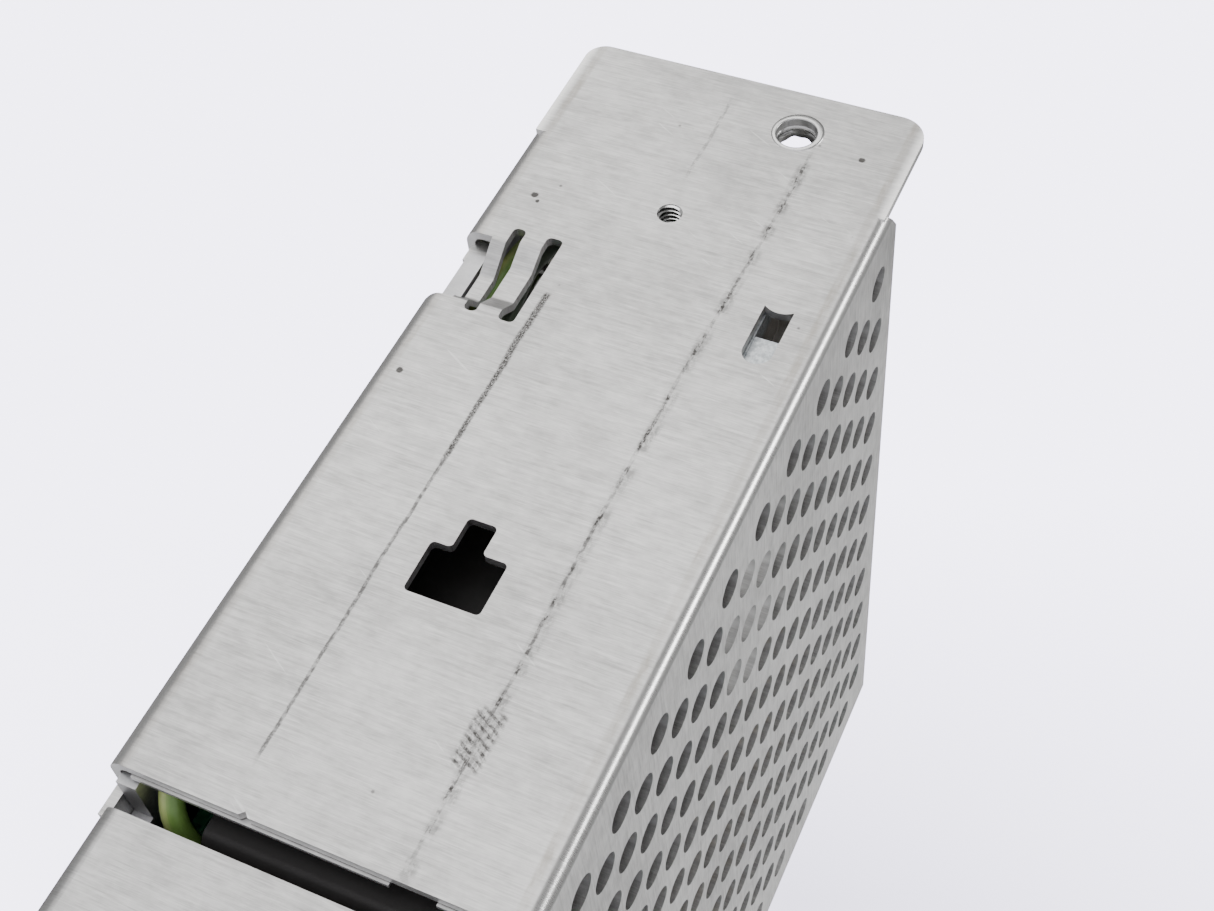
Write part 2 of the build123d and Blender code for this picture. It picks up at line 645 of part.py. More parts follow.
with BuildPart() as control_board:
    # daughter board on edge, with its controller, couplers and a connector
    block((-14.0, BOARD_X - 0.1), (40.0, 41.6), (66.0, 108.9))
    block((-2.0, 8.0), (41.5, 43.2), (70.0, 76.0))
    for z in (80.0, 87.0, 94.0):
        block((-10.0, -4.0), (41.5, 45.0), (z, z + 4.6))
    block((4.0, 12.0), (41.5, 46.5), (98.0, 103.0))
save(control_board, "control_board")

with BuildPart() as lead_header:
    block((8.0, BOARD_X - 0.1), (28.0, 35.0), (143.0, 150.0))
    fillet(lead_header.edges().filter_by(Axis.X), radius=0.5)
save(lead_header, "lead_header")

# ==== wires ================================================================================


def wire_run(route, radii, radius):
    """Straight runs joined by tangent arcs, with a round section carried along them."""
    with BuildLine() as path:
        FilletPolyline(*route, radius=radii)
    with BuildSketch(Plane(origin=path.line @ 0, z_dir=path.line % 0)) as section:
        Circle(radius)
    sweep(section.sketch, path=path.line)


def corner_radii(route):
    """The largest radius that each corner's two runs leave room for."""
    points = [Vector(*place) for place in route]
    radii = []
    for before, here, after in zip(points, points[1:], points[2:]):
        turn = math.radians((here - before).get_angle(after - here))
        shorter = min((here - before).length, (after - here).length)
        radii.append(0.45 * shorter / math.tan(turn / 2))
    return radii


def report_wire(piece, route, radii, radius):
    """Compares a wire's volume with its section times its length."""
    with BuildLine() as path:
        FilletPolyline(*route, radius=radii)
    length = path.wire().length
    expected = math.pi * radius**2 * length
    print(piece.part.label, "radii", [round(value, 1) for value in radii],
          "length", round(length, 1), "volume ratio", round(piece.part.volume / expected, 4))


EARTH_R = 1.4
EARTH_ROUTE = [
    (19.4, 50.2, 151.2),
    (19.5, 54.4, 148.6),
    (19.5, 55.6, 140.5),
    (19.4, 55.7, 118.0),
    (19.2, 55.6, 90.0),
    (19.7, 57.4, 60.8),
    (13.9, 46.0, 58.2),
    (13.7, 22.0, 57.9),
    (13.4, -4.0, 58.3),
    (12.8, -27.0, 57.8),
    (11.6, -33.0, 50.0),
    (11.8, -35.0, 34.0),
    (12.0, -36.5, 23.4),
]
earth_radii = corner_radii(EARTH_ROUTE)
with BuildPart() as pe_wire:
    wire_run(EARTH_ROUTE, earth_radii, EARTH_R)
save(pe_wire, "pe_wire")
report_wire(pe_wire, EARTH_ROUTE, earth_radii, EARTH_R)

LEAD_R = 0.8
LEAD_ROUTE = [
    (12.6, 35.2, 146.5),
    (12.9, 47.0, 150.6),
    (15.2, 55.4, 149.0),
    (15.7, 57.0, 143.0),
    (14.6, 57.1, 134.0),
    (14.2, 55.4, 122.0),
    (11.4, 50.0, 112.0),
    (8.4, 44.9, 103.7),
]
lead_radii = corner_radii(LEAD_ROUTE)
with BuildPart() as signal_lead:
    wire_run(LEAD_ROUTE, lead_radii, LEAD_R)
save(signal_lead, "signal_lead")
report_wire(signal_lead, LEAD_ROUTE, lead_radii, LEAD_R)

with BuildPart() as pe_ring_lug:
    # flat ring against the heat spreader, with a crimp barrel round the earth wire
    ring((GROUND_X - 0.05, GROUND_Y, GROUND_Z), (-1, 0, 0), 3.6, 2.1, 0.8)
    wire_start = Vector(*EARTH_ROUTE[0])
    toward = (Vector(*EARTH_ROUTE[1]) - wire_start).normalized()
    barrel_start = wire_start - toward * 2.2
    bar(tuple(barrel_start), tuple(toward), 1.6, 2.2)
    block((GROUND_X - 0.85, GROUND_X - 0.05), (47.0, 49.4), (GROUND_Z + 1.2, GROUND_Z + 6.0))
    block((BOARD_X + 1.2, GROUND_X - 0.05), (47.2, 49.2), (GROUND_Z + 3.7, GROUND_Z + 6.0))
save(pe_ring_lug, "pe_ring_lug")

with BuildPart() as pe_screw:
    bar((GROUND_X - 0.9, GROUND_Y, GROUND_Z), (-1, 0, 0), 3.2, 2.2)
    bar((GROUND_X - 0.9, GROUND_Y, GROUND_Z), (1, 0, 0), 1.6, 3.2)
    block((GROUND_X - 4, GROUND_X - 2.2), (GROUND_Y - 0.5, GROUND_Y + 0.5), (GROUND_Z - 2, GROUND_Z + 2),
          Mode.SUBTRACT)
    block((GROUND_X - 4, GROUND_X - 2.2), (GROUND_Y - 2, GROUND_Y + 2), (GROUND_Z - 0.5, GROUND_Z + 0.5),
          Mode.SUBTRACT)
save(pe_screw, "pe_screw")

# ==== terminals ============================================================================
# Each pole has a captive screw along Y, a cage that the screw draws forward, and a fixed
# bus bar inside the cage that the wire is clamped against. Wires go in along Z.

POLE_X = [(pole - (POLES - 1) / 2) * POLE_PITCH for pole in range(POLES)]
SCREW_HEAD = (-58.6, -56.6)
SHANK_END = -48.75
BUS = (-48.6, -47.6)
CAGE_FRONT = (-50.9, -48.9)
CAGE_BACK = (-42.6, -41.6)
CAGE_HALF = 3.6
CAVITY_HALF = 3.9
SCREW_LEVEL = 16.0          # distance of the screws from the mouth end of the block
CAGE_LEVEL = (12.6, 19.4)
PIN_LEVEL = (20.6, 23.0)


def from_mouth(low, high, upward):
    """A (low, high) pair of heights, from distances in from the mouth end of a block."""
    mouth = COVER_TOP if upward else 0.0
    step = -1 if upward else 1
    return tuple(sorted((mouth + step * low, mouth + step * high)))


def terminal_parts(name, upward):
    """Makes one terminal block with its screws, cages and bus bars."""
    body_z = from_mouth(0.0, BLOCK_HEIGHT, upward)
    cage_z = from_mouth(*CAGE_LEVEL, upward)
    axis_z = from_mouth(SCREW_LEVEL, SCREW_LEVEL, upward)[0]
    with BuildPart() as terminal_block:
        block((-BLOCK_WIDTH / 2, BLOCK_WIDTH / 2), (BLOCK_FRONT, BLOCK_BACK), body_z)
        for x in POLE_X:
            cavity = from_mouth(CAGE_LEVEL[0] - 0.3, CAGE_LEVEL[1] + 0.3, upward)
            block((x - CAVITY_HALF, x + CAVITY_HALF), (-55.4, -41.2), cavity, Mode.SUBTRACT)
            mouth = from_mouth(-1.0, CAGE_LEVEL[0], upward)
            block((x - 2.9, x + 2.9), (-47.5, -42.4), mouth, Mode.SUBTRACT)
            funnel = from_mouth(-1.0, 1.6, upward)
            block((x - 4.2, x + 4.2), (-48.6, -41.4), funnel, Mode.SUBTRACT)
            bar((x, BLOCK_FRONT - 1, axis_z), (0, 1, 0), 3.2, 61.6 - 56.4, Mode.SUBTRACT)
            bar((x, -57, axis_z), (0, 1, 0), 1.7, 3.0, Mode.SUBTRACT)
            slit = from_mouth(CAGE_LEVEL[0] - 0.2, PIN_LEVEL[1] + 0.1, upward)
            block((x - 2.3, x + 2.3), (BUS[0] - 0.1, BUS[1] + 0.1), slit, Mode.SUBTRACT)
            pin = from_mouth(PIN_LEVEL[0] - 0.1, PIN_LEVEL[1] + 0.1, upward)
            block((x - 1.1, x + 1.1), (BUS[0] - 0.1, BLOCK_BACK + 1), pin, Mode.SUBTRACT)
        # grooves between the poles
        for x in [POLE_X[0] - POLE_PITCH / 2 + pole * POLE_PITCH for pole in range(1, POLES)]:
            block((x - 0.5, x + 0.5), (BLOCK_FRONT - 1, BLOCK_FRONT + 1.6), body_z, Mode.SUBTRACT)
    save(terminal_block, f"{name}_terminal_block")

    with BuildPart() as busbars:
        for x in POLE_X:
            block((x - 2.2, x + 2.2), BUS, from_mouth(CAGE_LEVEL[0], PIN_LEVEL[1], upward))
            block((x - 1.0, x + 1.0), (BUS[0], BLOCK_BACK + 4.4), from_mouth(*PIN_LEVEL, upward))
    save(busbars, f"{name}_busbars")

    for number, x in enumerate(POLE_X, start=1):
        with BuildPart() as terminal_screw:
            bar((x, SCREW_HEAD[0], axis_z), (0, 1, 0), 3.0, SCREW_HEAD[1] - SCREW_HEAD[0])
            fillet(terminal_screw.edges().group_by(Axis.Y)[0], radius=0.4)
            bar((x, SCREW_HEAD[1], axis_z), (0, 1, 0), 1.5, SHANK_END - SCREW_HEAD[1])
            block((x - 0.45, x + 0.45), (SCREW_HEAD[0] - 1, SCREW_HEAD[0] + 1.1),
                  (axis_z - 3.5, axis_z + 3.5), Mode.SUBTRACT)
        save(terminal_screw, f"{name}_screw_{number}")

        with BuildPart() as cage:
            block((x - CAGE_HALF, x + CAGE_HALF), (CAGE_FRONT[0], CAGE_BACK[1]), cage_z)
            block((x - CAGE_HALF + 1, x + CAGE_HALF - 1), (CAGE_FRONT[1], CAGE_BACK[0]),
                  (cage_z[0] - 1, cage_z[1] + 1), Mode.SUBTRACT)
            bar((x, CAGE_FRONT[0] - 1, axis_z), (0, 1, 0), 1.56, 4.0, Mode.SUBTRACT)
        save(cage, f"{name}_cage_{number}")


terminal_parts("output", True)
terminal_parts("input", False)

with BuildPart() as terminal_boards:
    for upward in (True, False):
        pins = from_mouth(*PIN_LEVEL, upward)
        board_z = from_mouth(7.0, 33.0, upward)
        block((-20.0, BOARD_X - 0.1), (BLOCK_BACK + 0.3, BLOCK_BACK + 1.9), board_z)
        for x in POLE_X:
            block((x - 1.1, x + 1.1), (BLOCK_BACK - 1, BLOCK_BACK + 5),
                  (pins[0] - 0.1, pins[1] + 0.1), Mode.SUBTRACT)
save(terminal_boards, "terminal_boards")

# ==== light and trimmer ====================================================================

with BuildPart() as status_led:
    x, z = LED_PLACE
    bar((x, -REAR + 1.6, z), (0, 1, 0), 1.5, 4.0)
    with Locations((x, -REAR + 1.6, z)):
        Sphere(1.5)
    bar((x, -REAR + 4.6, z), (0, 1, 0), 2.0, 1.0)
    for lead_x in (x - 1.3, x + 1.3):
        block((lead_x - 0.25, lead_x + 0.25), (-REAR + 5.5, -REAR + 9.1), (z - 0.25, z + 0.25))
save(status_led, "status_led")

with BuildPart() as trim_pot_body:
    x, z = TRIM_PLACE
    block((x - 4.8, x + 4.8), (-REAR + 4.0, -REAR + 9.0), (z - 4.8, z + 4.8))
    bar((x, -REAR + 3.5, z), (0, 1, 0), 2.86, 3.0, Mode.SUBTRACT)
    fillet(trim_pot_body.edges().filter_by(Axis.Y), radius=0.6)
save(trim_pot_body, "trim_pot_body")

with BuildPart() as trim_pot_knob:
    x, z = TRIM_PLACE
    bar((x, -REAR + 1.0, z), (0, 1, 0), 2.8, 5.4)
    block((x - 0.4, x + 0.4), (-REAR, -REAR + 1.9), (z - 3, z + 3), Mode.SUBTRACT)
    # one notch in the rim marks the setting
    block((x - 0.5, x + 0.5), (-REAR, -REAR + 1.5), (z + 2.2, z + 3.2), Mode.SUBTRACT)
save(trim_pot_knob, "trim_pot_knob")

with BuildPart() as front_board:
    # narrow board behind the front sheet that carries the light and the trimmer
    block((-20.0, BOARD_X - 0.1), (-REAR + 9.1, -REAR + 10.3), (116.0, 134.0))
save(front_board, "front_board")
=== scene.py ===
import math

import bpy
import numpy as np
from mathutils import Matrix, Vector


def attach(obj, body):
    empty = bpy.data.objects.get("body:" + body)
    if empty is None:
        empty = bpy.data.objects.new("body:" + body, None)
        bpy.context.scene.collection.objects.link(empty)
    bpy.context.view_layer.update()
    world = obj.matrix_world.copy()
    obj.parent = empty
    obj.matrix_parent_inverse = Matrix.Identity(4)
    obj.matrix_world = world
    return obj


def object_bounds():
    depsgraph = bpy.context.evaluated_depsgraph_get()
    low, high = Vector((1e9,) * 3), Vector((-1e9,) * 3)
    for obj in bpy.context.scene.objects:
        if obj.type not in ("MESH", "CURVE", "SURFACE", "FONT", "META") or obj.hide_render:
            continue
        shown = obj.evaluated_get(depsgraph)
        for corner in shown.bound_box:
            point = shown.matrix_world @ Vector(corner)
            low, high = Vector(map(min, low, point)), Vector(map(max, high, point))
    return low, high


bl_info = {
    "name": "DIN Rail Power Supply",
    "version": (1, 0, 0),
    "blender": (4, 5, 0),
    "location": "3D View > Sidebar > Power Supply",
    "description": "Finishes, small surface details and a studio for a sheet-metal power supply",
    "category": "Object",
}

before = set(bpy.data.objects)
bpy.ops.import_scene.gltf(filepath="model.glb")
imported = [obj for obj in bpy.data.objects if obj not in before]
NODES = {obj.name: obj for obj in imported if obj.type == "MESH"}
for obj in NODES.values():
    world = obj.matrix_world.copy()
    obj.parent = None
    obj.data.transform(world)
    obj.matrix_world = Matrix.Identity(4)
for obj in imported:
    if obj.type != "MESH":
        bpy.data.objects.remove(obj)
CAD_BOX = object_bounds()
MM = 0.001

# ---- places shared with the case, in millimetres -------------------------------------------
HALF = CAD_BOX[1].x / MM            # half of the width
REAR = CAD_BOX[1].y / MM            # outer face of the raised rear wall
TOP = CAD_BOX[1].z / MM
ROW_ONE = TOP - 21.2                # height of the top row of side holes
FLANGE_HOLE = (16.5 - HALF, ROW_ONE + 13.6)
FLANGE_HOLE_R = 2.75
COLLAR_START = 1.15                 # the collar begins just inside the flange's front face
THREAD_HOLE = (26.3 - HALF, ROW_ONE - 5.7)
THREAD_MINOR_R = 1.65
THREAD_LENGTH = 4.2

# ---- marks on the raised rear wall, in millimetres ------------------------------------------
FAR_LINE = 35.0 - HALF              # the heavy scratch, far from the perforated side
NEAR_LINE = 14.6 - HALF             # the dashed line with the smear
TOP_LINE = 1.9                      # the faint line on the flange
# across, height over the top row of holes, size
SPECKS = ((19.1, -8.7, 0.55), (-18.2, 11.7, 0.5), (21.4, -41.2, 0.5), (18.3, -9.6, 0.3))


class Ink:
    """A value in a material: used in an expression, it adds the Math nodes for it."""

    def __init__(self, tree, socket):
        self.tree = tree
        self.socket = socket

    def math(self, operation, *others, clamp=False):
        node = self.tree.nodes.new("ShaderNodeMath")
        node.operation = operation
        node.use_clamp = clamp
        for place, value in enumerate((self, *others)):
            if isinstance(value, Ink):
                self.tree.links.new(value.socket, node.inputs[place])
            else:
                node.inputs[place].default_value = value
        return Ink(self.tree, node.outputs[0])

    def flipped(self, operation, other):
        node = self.tree.nodes.new("ShaderNodeMath")
        node.operation = operation
        node.inputs[0].default_value = other
        self.tree.links.new(self.socket, node.inputs[1])
        return Ink(self.tree, node.outputs[0])

    def __add__(self, other):
        return self.math("ADD", other)

    __radd__ = __add__

    def __mul__(self, other):
        return self.math("MULTIPLY", other)

    __rmul__ = __mul__

    def __sub__(self, other):
        return self.math("SUBTRACT", other)

    def __rsub__(self, other):
        return self.flipped("SUBTRACT", other)

    def __truediv__(self, other):
        return self.math("DIVIDE", other)

    def __abs__(self):
        return self.math("ABSOLUTE")

    def power(self, other):
        return self.math("POWER", other)

    def sine(self):
        return self.math("SINE")

    def least(self, other):
        return self.math("MINIMUM", other)

    def most(self, other):
        return self.math("MAXIMUM", other)


class Finish:
    """A material under construction: one Principled shader and the values that drive it."""

    def __init__(self, name, colour, roughness, metallic=0.0, coat=0.0, clear=0.0):
        self.material = bpy.data.materials.new(name)
        self.material.use_nodes = True
        self.tree = self.material.node_tree
        self.tree.nodes.clear()
        out = self.tree.nodes.new("ShaderNodeOutputMaterial")
        self.shader = self.tree.nodes.new("ShaderNodeBsdfPrincipled")
        self.tree.links.new(self.shader.outputs[0], out.inputs["Surface"])
        self.shader.inputs["Base Color"].default_value = (*colour, 1.0)
        self.shader.inputs["Roughness"].default_value = roughness
        self.shader.inputs["Metallic"].default_value = metallic
        self.shader.inputs["Coat Weight"].default_value = coat
        self.shader.inputs["Transmission Weight"].default_value = clear
        self.place = self.node("ShaderNodeTexCoord", output="Object")

    def node(self, kind, settings=(), inputs=(), output=0):
        """Adds a node: its settings first, then the values or links of its sockets."""
        node = self.tree.nodes.new(kind)
        for name, value in dict(settings).items():
            setattr(node, name, value)
        for name, value in dict(inputs).items():
            if isinstance(value, Ink):
                self.tree.links.new(value.socket, node.inputs[name])
            else:
                node.inputs[name].default_value = value
        return Ink(self.tree, node.outputs[output])

    def along(self, axis):
        """The place on the object along one axis, in millimetres."""
        return self.node("ShaderNodeSeparateXYZ", inputs={0: self.place}, output=axis) / MM

    def facing(self, axis):
        """How far the surface faces along one axis, from -1 to 1."""
        normal = self.node("ShaderNodeTexCoord", output="Normal")
        return self.node("ShaderNodeSeparateXYZ", inputs={0: normal}, output=axis)

    def vector(self, x, y, z):
        return self.node("ShaderNodeCombineXYZ", inputs={0: x, 1: y, 2: z})

    def noise(self, place, scale=1.0, detail=2.0, roughness=0.5):
        """Smooth random values about 0.5 at that scale."""
        values = {"Vector": place, "Scale": scale, "Detail": detail, "Roughness": roughness}
        return self.node("ShaderNodeTexNoise", inputs=values)

    def cells(self, place, scale):
        """Distance to the nearest of a scatter of points."""
        return self.node("ShaderNodeTexVoronoi", inputs={"Vector": place, "Scale": scale})

    def ramp(self, value, low, high, from_value=0.0, to_value=1.0):
        """A smooth step between two values."""
        settings = {"interpolation_type": "SMOOTHSTEP"}
        values = {"Value": value, 1: low, 2: high, 3: from_value, 4: to_value}
        return self.node("ShaderNodeMapRange", settings, values)

    def between(self, value, low, high, soft):
        """1 between two values, falling to 0 over a soft distance outside them."""
        return self.ramp(value, low - soft, low) * (1.0 - self.ramp(value, high, high + soft))

    def blend(self, amount, first, second):
        """One colour or the other; each is a colour or the result of another blend."""
        node = self.tree.nodes.new("ShaderNodeMix")
        node.data_type = "RGBA"
        for place, value in ((0, amount), (6, first), (7, second)):
            if isinstance(value, Ink):
                self.tree.links.new(value.socket, node.inputs[place])
            elif place:
                node.inputs[place].default_value = (*value, 1.0)
            else:
                node.inputs[place].default_value = value
        return Ink(self.tree, node.outputs[2])

    def drive(self, socket, value):
        self.tree.links.new(value.socket, self.shader.inputs[socket])

    def relief(self, height, depth, strength=1.0):
        """Raises the surface by a height from 0 to 1 times a depth in metres."""
        values = {"Height": height, "Distance": depth, "Strength": strength}
        self.drive("Normal", self.node("ShaderNodeBump", inputs=values))


def shade(colour, share):
    """The colour with every part of it multiplied by a share."""
    return tuple(value * share for value in colour)


def wear(*names_and_finish):
    """The last value is a material; every CAD node named before it takes it."""
    *names, finish = names_and_finish
    for name in names:
        node = NODES[name]
        node.data.materials.clear()
        node.data.materials.append(finish.material)


def mesh_piece(name, points, faces, finish, body="case", smooth=True):
    """A new piece from arrays of points in metres and of faces, riding on a body."""
    mesh = bpy.data.meshes.new(name)
    mesh.from_pydata(points.tolist(), [], faces.tolist())
    mesh.update()
    mesh.polygons.foreach_set("use_smooth", np.full(len(mesh.polygons), smooth))
    piece = bpy.data.objects.new(name, mesh)
    bpy.context.scene.collection.objects.link(piece)
    piece.data.materials.append(finish.material)
    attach(piece, body)
    return piece


def grid_faces(rows, columns, close_rows=False, close_columns=False):
    """Four-sided faces of a grid of points, with either direction closed on itself."""
    row = np.arange(rows if close_rows else rows - 1)
    column = np.arange(columns if close_columns else columns - 1)
    i, j = np.meshgrid(row, column, indexing="ij")
    after_i = (i + 1) % rows
    after_j = (j + 1) % columns
    corners = [i * columns + j, i * columns + after_j, after_i * columns + after_j, after_i * columns + j]
    return np.stack(corners, axis=-1).reshape(-1, 4)


# ---- finishes ------------------------------------------------------------------------------


def sheet_finish(name, look, marks):
    """Rolled aluminium: fine grain across the rear wall and on round the bends, with cloudy
    patches, and on the case the scuffs and drawn lines of handling."""
    f = Finish(name, look.colour, look.roughness, metallic=1.0)
    x, y, z = f.along(0), f.along(1), f.along(2)
    around = x - y
    grain = f.noise(f.vector(around * 0.11, 0.0, z * 2.2), 1.0, 5.0, 0.62)
    fine = f.noise(f.vector(around * 0.35, x * 0.02, z * 9.0), 1.0, 2.0, 0.6)
    cloud = f.noise(f.vector(x * 0.03, y * 0.03, z * 0.03), 1.0, 4.0, 0.6)
    mottle = f.noise(f.vector(x * 0.45, y * 0.45, z * 0.6), 1.0, 3.0, 0.6)
    streak = f.ramp(f.noise(f.vector(around * 0.10, 0.0, z * 1.1), 1.0, 6.0, 0.75), 0.56, 0.80)
    bright, dark = look.colour, shade(look.colour, 0.62)
    tone = (grain - 0.5) * 1.5 + (fine - 0.5) * 1.2 + (cloud - 0.5) * 1.3 + (mottle - 0.5) * 1.1 + 0.40
    colour = f.blend(tone.most(0.0).least(1.0), bright, dark)
    colour = f.blend(streak * 0.42, colour, (0.36, 0.33, 0.30))
    # painted reflection of the pale floor: every face that turns down, the cut edges among them, is made
    # bright
    edge = f.ramp(f.facing(2) * -1.0, 0.7, 0.9)
    colour = f.blend(edge * 0.7, colour, (0.95, 0.95, 0.95))
    roughness = (grain - 0.5) * 0.16 + (cloud - 0.5) * 0.14 + (fine - 0.5) * 0.12 + look.roughness
    height = grain * 0.55 + fine * 0.45
    if marks:
        rear = f.ramp(y, REAR - 0.35, REAR - 0.1)
        # cutting oil and shade in the tapped hole
        wide = (abs(x - THREAD_HOLE[0]).power(2.0) + abs(z - THREAD_HOLE[1]).power(2.0)).power(0.5)
        bore = (1.0 - f.ramp(wide, 1.75, 1.95)) * (1.0 - f.ramp(y, REAR - 0.5, REAR - 0.2))
        colour = f.blend(bore * 0.9, colour, (0.05, 0.048, 0.045))
        colour, roughness = fold_wear_highlight_and_shade(f, x, y, z, colour, roughness)
        colour, roughness = handling_marks(f, x, z, rear, colour, roughness)
    f.drive("Base Color", colour)
    f.drive("Roughness", roughness)
    f.relief(height, look.grain_depth * MM, 0.6)
    return f


def fold_wear_highlight_and_shade(f, x, y, z, colour, roughness):
    """Bright, slightly cracked metal where the sheet was bent, partly worn metal and partly a painted
    highlight of the fold, with a darker line of painted shade beside it.
    """
    from_side = HALF - abs(x)
    from_rear = REAR - y
    corner = from_side.most(from_rear)
    fold_wear_and_highlight = 1.0 - f.ramp(corner, 0.7, 1.9)
    crack = f.noise(f.vector(x * 3.0, y * 3.0, z * 0.9), 1.0, 4.0, 0.7)
    beside = f.between(from_side, 2.0, 2.5, 0.5) * (1.0 - f.ramp(from_rear, 0.1, 0.4))
    fold_shade_patches = f.ramp(f.noise(f.vector(x * 0.5, y * 0.5, z * 0.12), 1.0, 6.0, 0.7), 0.50, 0.66)
    # partly worn, cracked metal and partly a painted highlight along the fold
    colour = f.blend(fold_wear_and_highlight * (crack * 0.6 + 0.5).least(1.0), colour, (0.97, 0.965, 0.95))
    # painted shade: a darker, patchy line on the rear wall just in from the fold
    colour = f.blend(beside * (0.25 + fold_shade_patches * 0.4), colour, (0.40, 0.37, 0.33))
    return colour, roughness - fold_wear_and_highlight * 0.12


def drawn_line(f, x, z, centre, width, low, high, soft=3.0):
    """A line drawn down the wall that breaks up into dashes and wanders a little."""
    wander = (f.noise(f.vector(0.0, centre * 0.1, z * 0.06), 1.0, 2.0) - 0.5) * 1.3
    ragged = f.noise(f.vector(x * 2.0, 0.0, z * 1.3), 1.0, 3.0, 0.7)
    distance = abs(x - wander - centre)
    core = 1.0 - f.ramp(distance + (ragged - 0.5) * 0.35, width * 0.35, width)
    return core * f.between(z, low, high, soft)


def speck(f, x, z, speck_x, over_row_one, size):
    """A small spot with a ragged edge."""
    wide = abs(x - speck_x).power(2.0) + abs(z - (ROW_ONE + over_row_one)).power(2.0)
    ragged = f.noise(f.vector(x * 2.0, 1.0, z * 2.0), 1.0, 3.0, 0.8) * 2.2 - 0.2
    return 1.0 - f.ramp(wide * ragged, size * size * 0.4, size * size)


def handling_marks(f, x, z, rear, colour, roughness):
    """Two long drawn lines, a hatched smear, rubs and specks on the raised rear wall."""
    dashes = f.ramp(f.noise(f.vector(0.0, 0.0, z * 0.22), 1.0, 4.0, 0.65), 0.40, 0.58)
    fine_dashes = f.ramp(f.noise(f.vector(x * 1.5, 3.0, z * 0.9), 1.0, 4.0, 0.7), 0.42, 0.56)
    gritty = f.ramp(f.noise(f.vector(x * 4.6, 2.0, z * 3.6), 1.0, 3.0, 0.8), 0.42, 0.54) * 0.72 + 0.28
    head = drawn_line(f, x, z, FAR_LINE, 0.62, ROW_ONE - 36, ROW_ONE - 24, 0.7) * gritty
    heavy = drawn_line(f, x, z, FAR_LINE, 0.50, ROW_ONE - 50, ROW_ONE - 30) * gritty
    heavy = heavy.most(head)
    thin = drawn_line(f, x, z, FAR_LINE, 0.32, ROW_ONE - 91, ROW_ONE - 45) * (fine_dashes * 0.6 + 0.4)
    lean = f.ramp(z, ROW_ONE - 45, ROW_ONE + 10, 0.0, 1.3)
    near = drawn_line(f, x + lean, z, NEAR_LINE, 0.36, ROW_ONE - 95, ROW_ONE + 9)
    near = near * (dashes * 0.7 + 0.3) * (fine_dashes * 0.75 + 0.25)
    rub = drawn_line(f, x + lean * 0.8, z, NEAR_LINE - 0.3, 1.1, ROW_ONE - 97, ROW_ONE + 9) * dashes
    rub = rub * (fine_dashes * 0.35 + 0.12)
    # a smear of short slanting strokes low down beside the nearer line
    smear_area = f.between(x, NEAR_LINE - 1.3, NEAR_LINE + 1.2, 0.8)
    smear_area = smear_area * f.between(z, ROW_ONE - 85, ROW_ONE - 79, 1.2)
    bent = (f.noise(f.vector(x * 0.5, 5.0, z * 0.5), 1.0, 2.0) - 0.5) * 2.0
    strokes = f.ramp((z * 6.4 - x * 3.4 + bent).sine(), -0.1, 0.6)
    patchy = f.ramp(f.noise(f.vector(x * 0.9, 7.0, z * 0.9), 1.0, 2.0, 0.6), 0.34, 0.50) * 0.7 + 0.3
    stain = f.ramp(f.noise(f.vector(x * 2.2, 9.0, z * 1.4), 1.0, 4.0, 0.75), 0.40, 0.58)
    smear = smear_area * (strokes * 0.45 + stain * 0.5) * patchy
    top_line = drawn_line(f, x, z, TOP_LINE, 0.35, ROW_ONE + 3, ROW_ONE + 15) * fine_dashes * 0.35
    spots = [speck(f, x, z, *place) for place in SPECKS]
    specks = spots[0]
    for spot in spots[1:]:
        specks = specks.most(spot)
    dots = f.cells(f.vector(x, 0.0, z), 0.17)
    peppered = (1.0 - f.ramp(dots, 0.018, 0.05)) * 0.55
    dirt = heavy.most(thin * 0.75).most(near).most(rub).most(smear)
    dirt = dirt.most(top_line).most(specks * 0.9).most(peppered) * rear
    # pale hairlines in a few directions
    turned = f.vector(x * 0.10 + z * 0.04, 0.0, z * 1.6 - x * 0.9)
    hair = f.ramp(f.noise(turned, 1.0, 1.0, 0.4), 0.735, 0.765) * 0.35 * rear
    colour = f.blend(hair, colour, (0.92, 0.92, 0.91))
    colour = f.blend(dirt * 0.92, colour, (0.07, 0.065, 0.06))
    return colour, roughness + dirt * 0.22 - hair * 0.08


def metal_finish(name, colour, roughness, grain=0.5):
    """Plated or bare metal with faint patches and fine wear."""
    f = Finish(name, colour, roughness, metallic=1.0)
    x, y, z = f.along(0), f.along(1), f.along(2)
    patch = f.noise(f.vector(x, y, z), 0.25, 4.0, 0.6)
    fine = f.noise(f.vector(x, y, z), 2.5, 3.0, 0.6)
    dark = shade(colour, 0.72)
    f.drive("Base Color", f.blend(patch * 0.6 + (fine - 0.5) * grain, colour, dark))
    f.drive("Roughness", (patch - 0.5) * 0.2 + (fine - 0.5) * 0.15 + roughness)
    f.relief(fine, 0.00002, 0.35)
    return f


def bracket_finish(name, colour, roughness):
    """Zinc-plated steel with a mottled face; its recessed plate is brownish and not metallic, with painted
    shade darkening it toward the bottom.
    """
    f = Finish(name, colour, roughness)
    x, y, z = f.along(0), f.along(1), f.along(2)
    deep = 1.0 - f.ramp(y, REAR - 5.0, REAR - 3.2)
    spots = f.noise(f.vector(x, y, z), 1.6, 4.0, 0.65)
    # painted shade: the recessed plate darkens toward its bottom, where little light reaches
    low = 1.0 - f.ramp(z, ROW_ONE - 19.0, ROW_ONE - 12.0)
    brown_with_painted_shade = f.blend(low, (0.80, 0.76, 0.70), (0.16, 0.145, 0.13))
    plated = f.blend(f.ramp(spots, 0.35, 0.65), (0.70, 0.73, 0.75), (0.46, 0.49, 0.51))
    f.drive("Base Color", f.blend(deep, plated, brown_with_painted_shade))
    f.drive("Metallic", (1.0 - deep) * 0.9)
    f.drive("Roughness", (spots - 0.5) * 0.3 + roughness)
    f.relief(spots, 0.00004, 0.4)
    return f


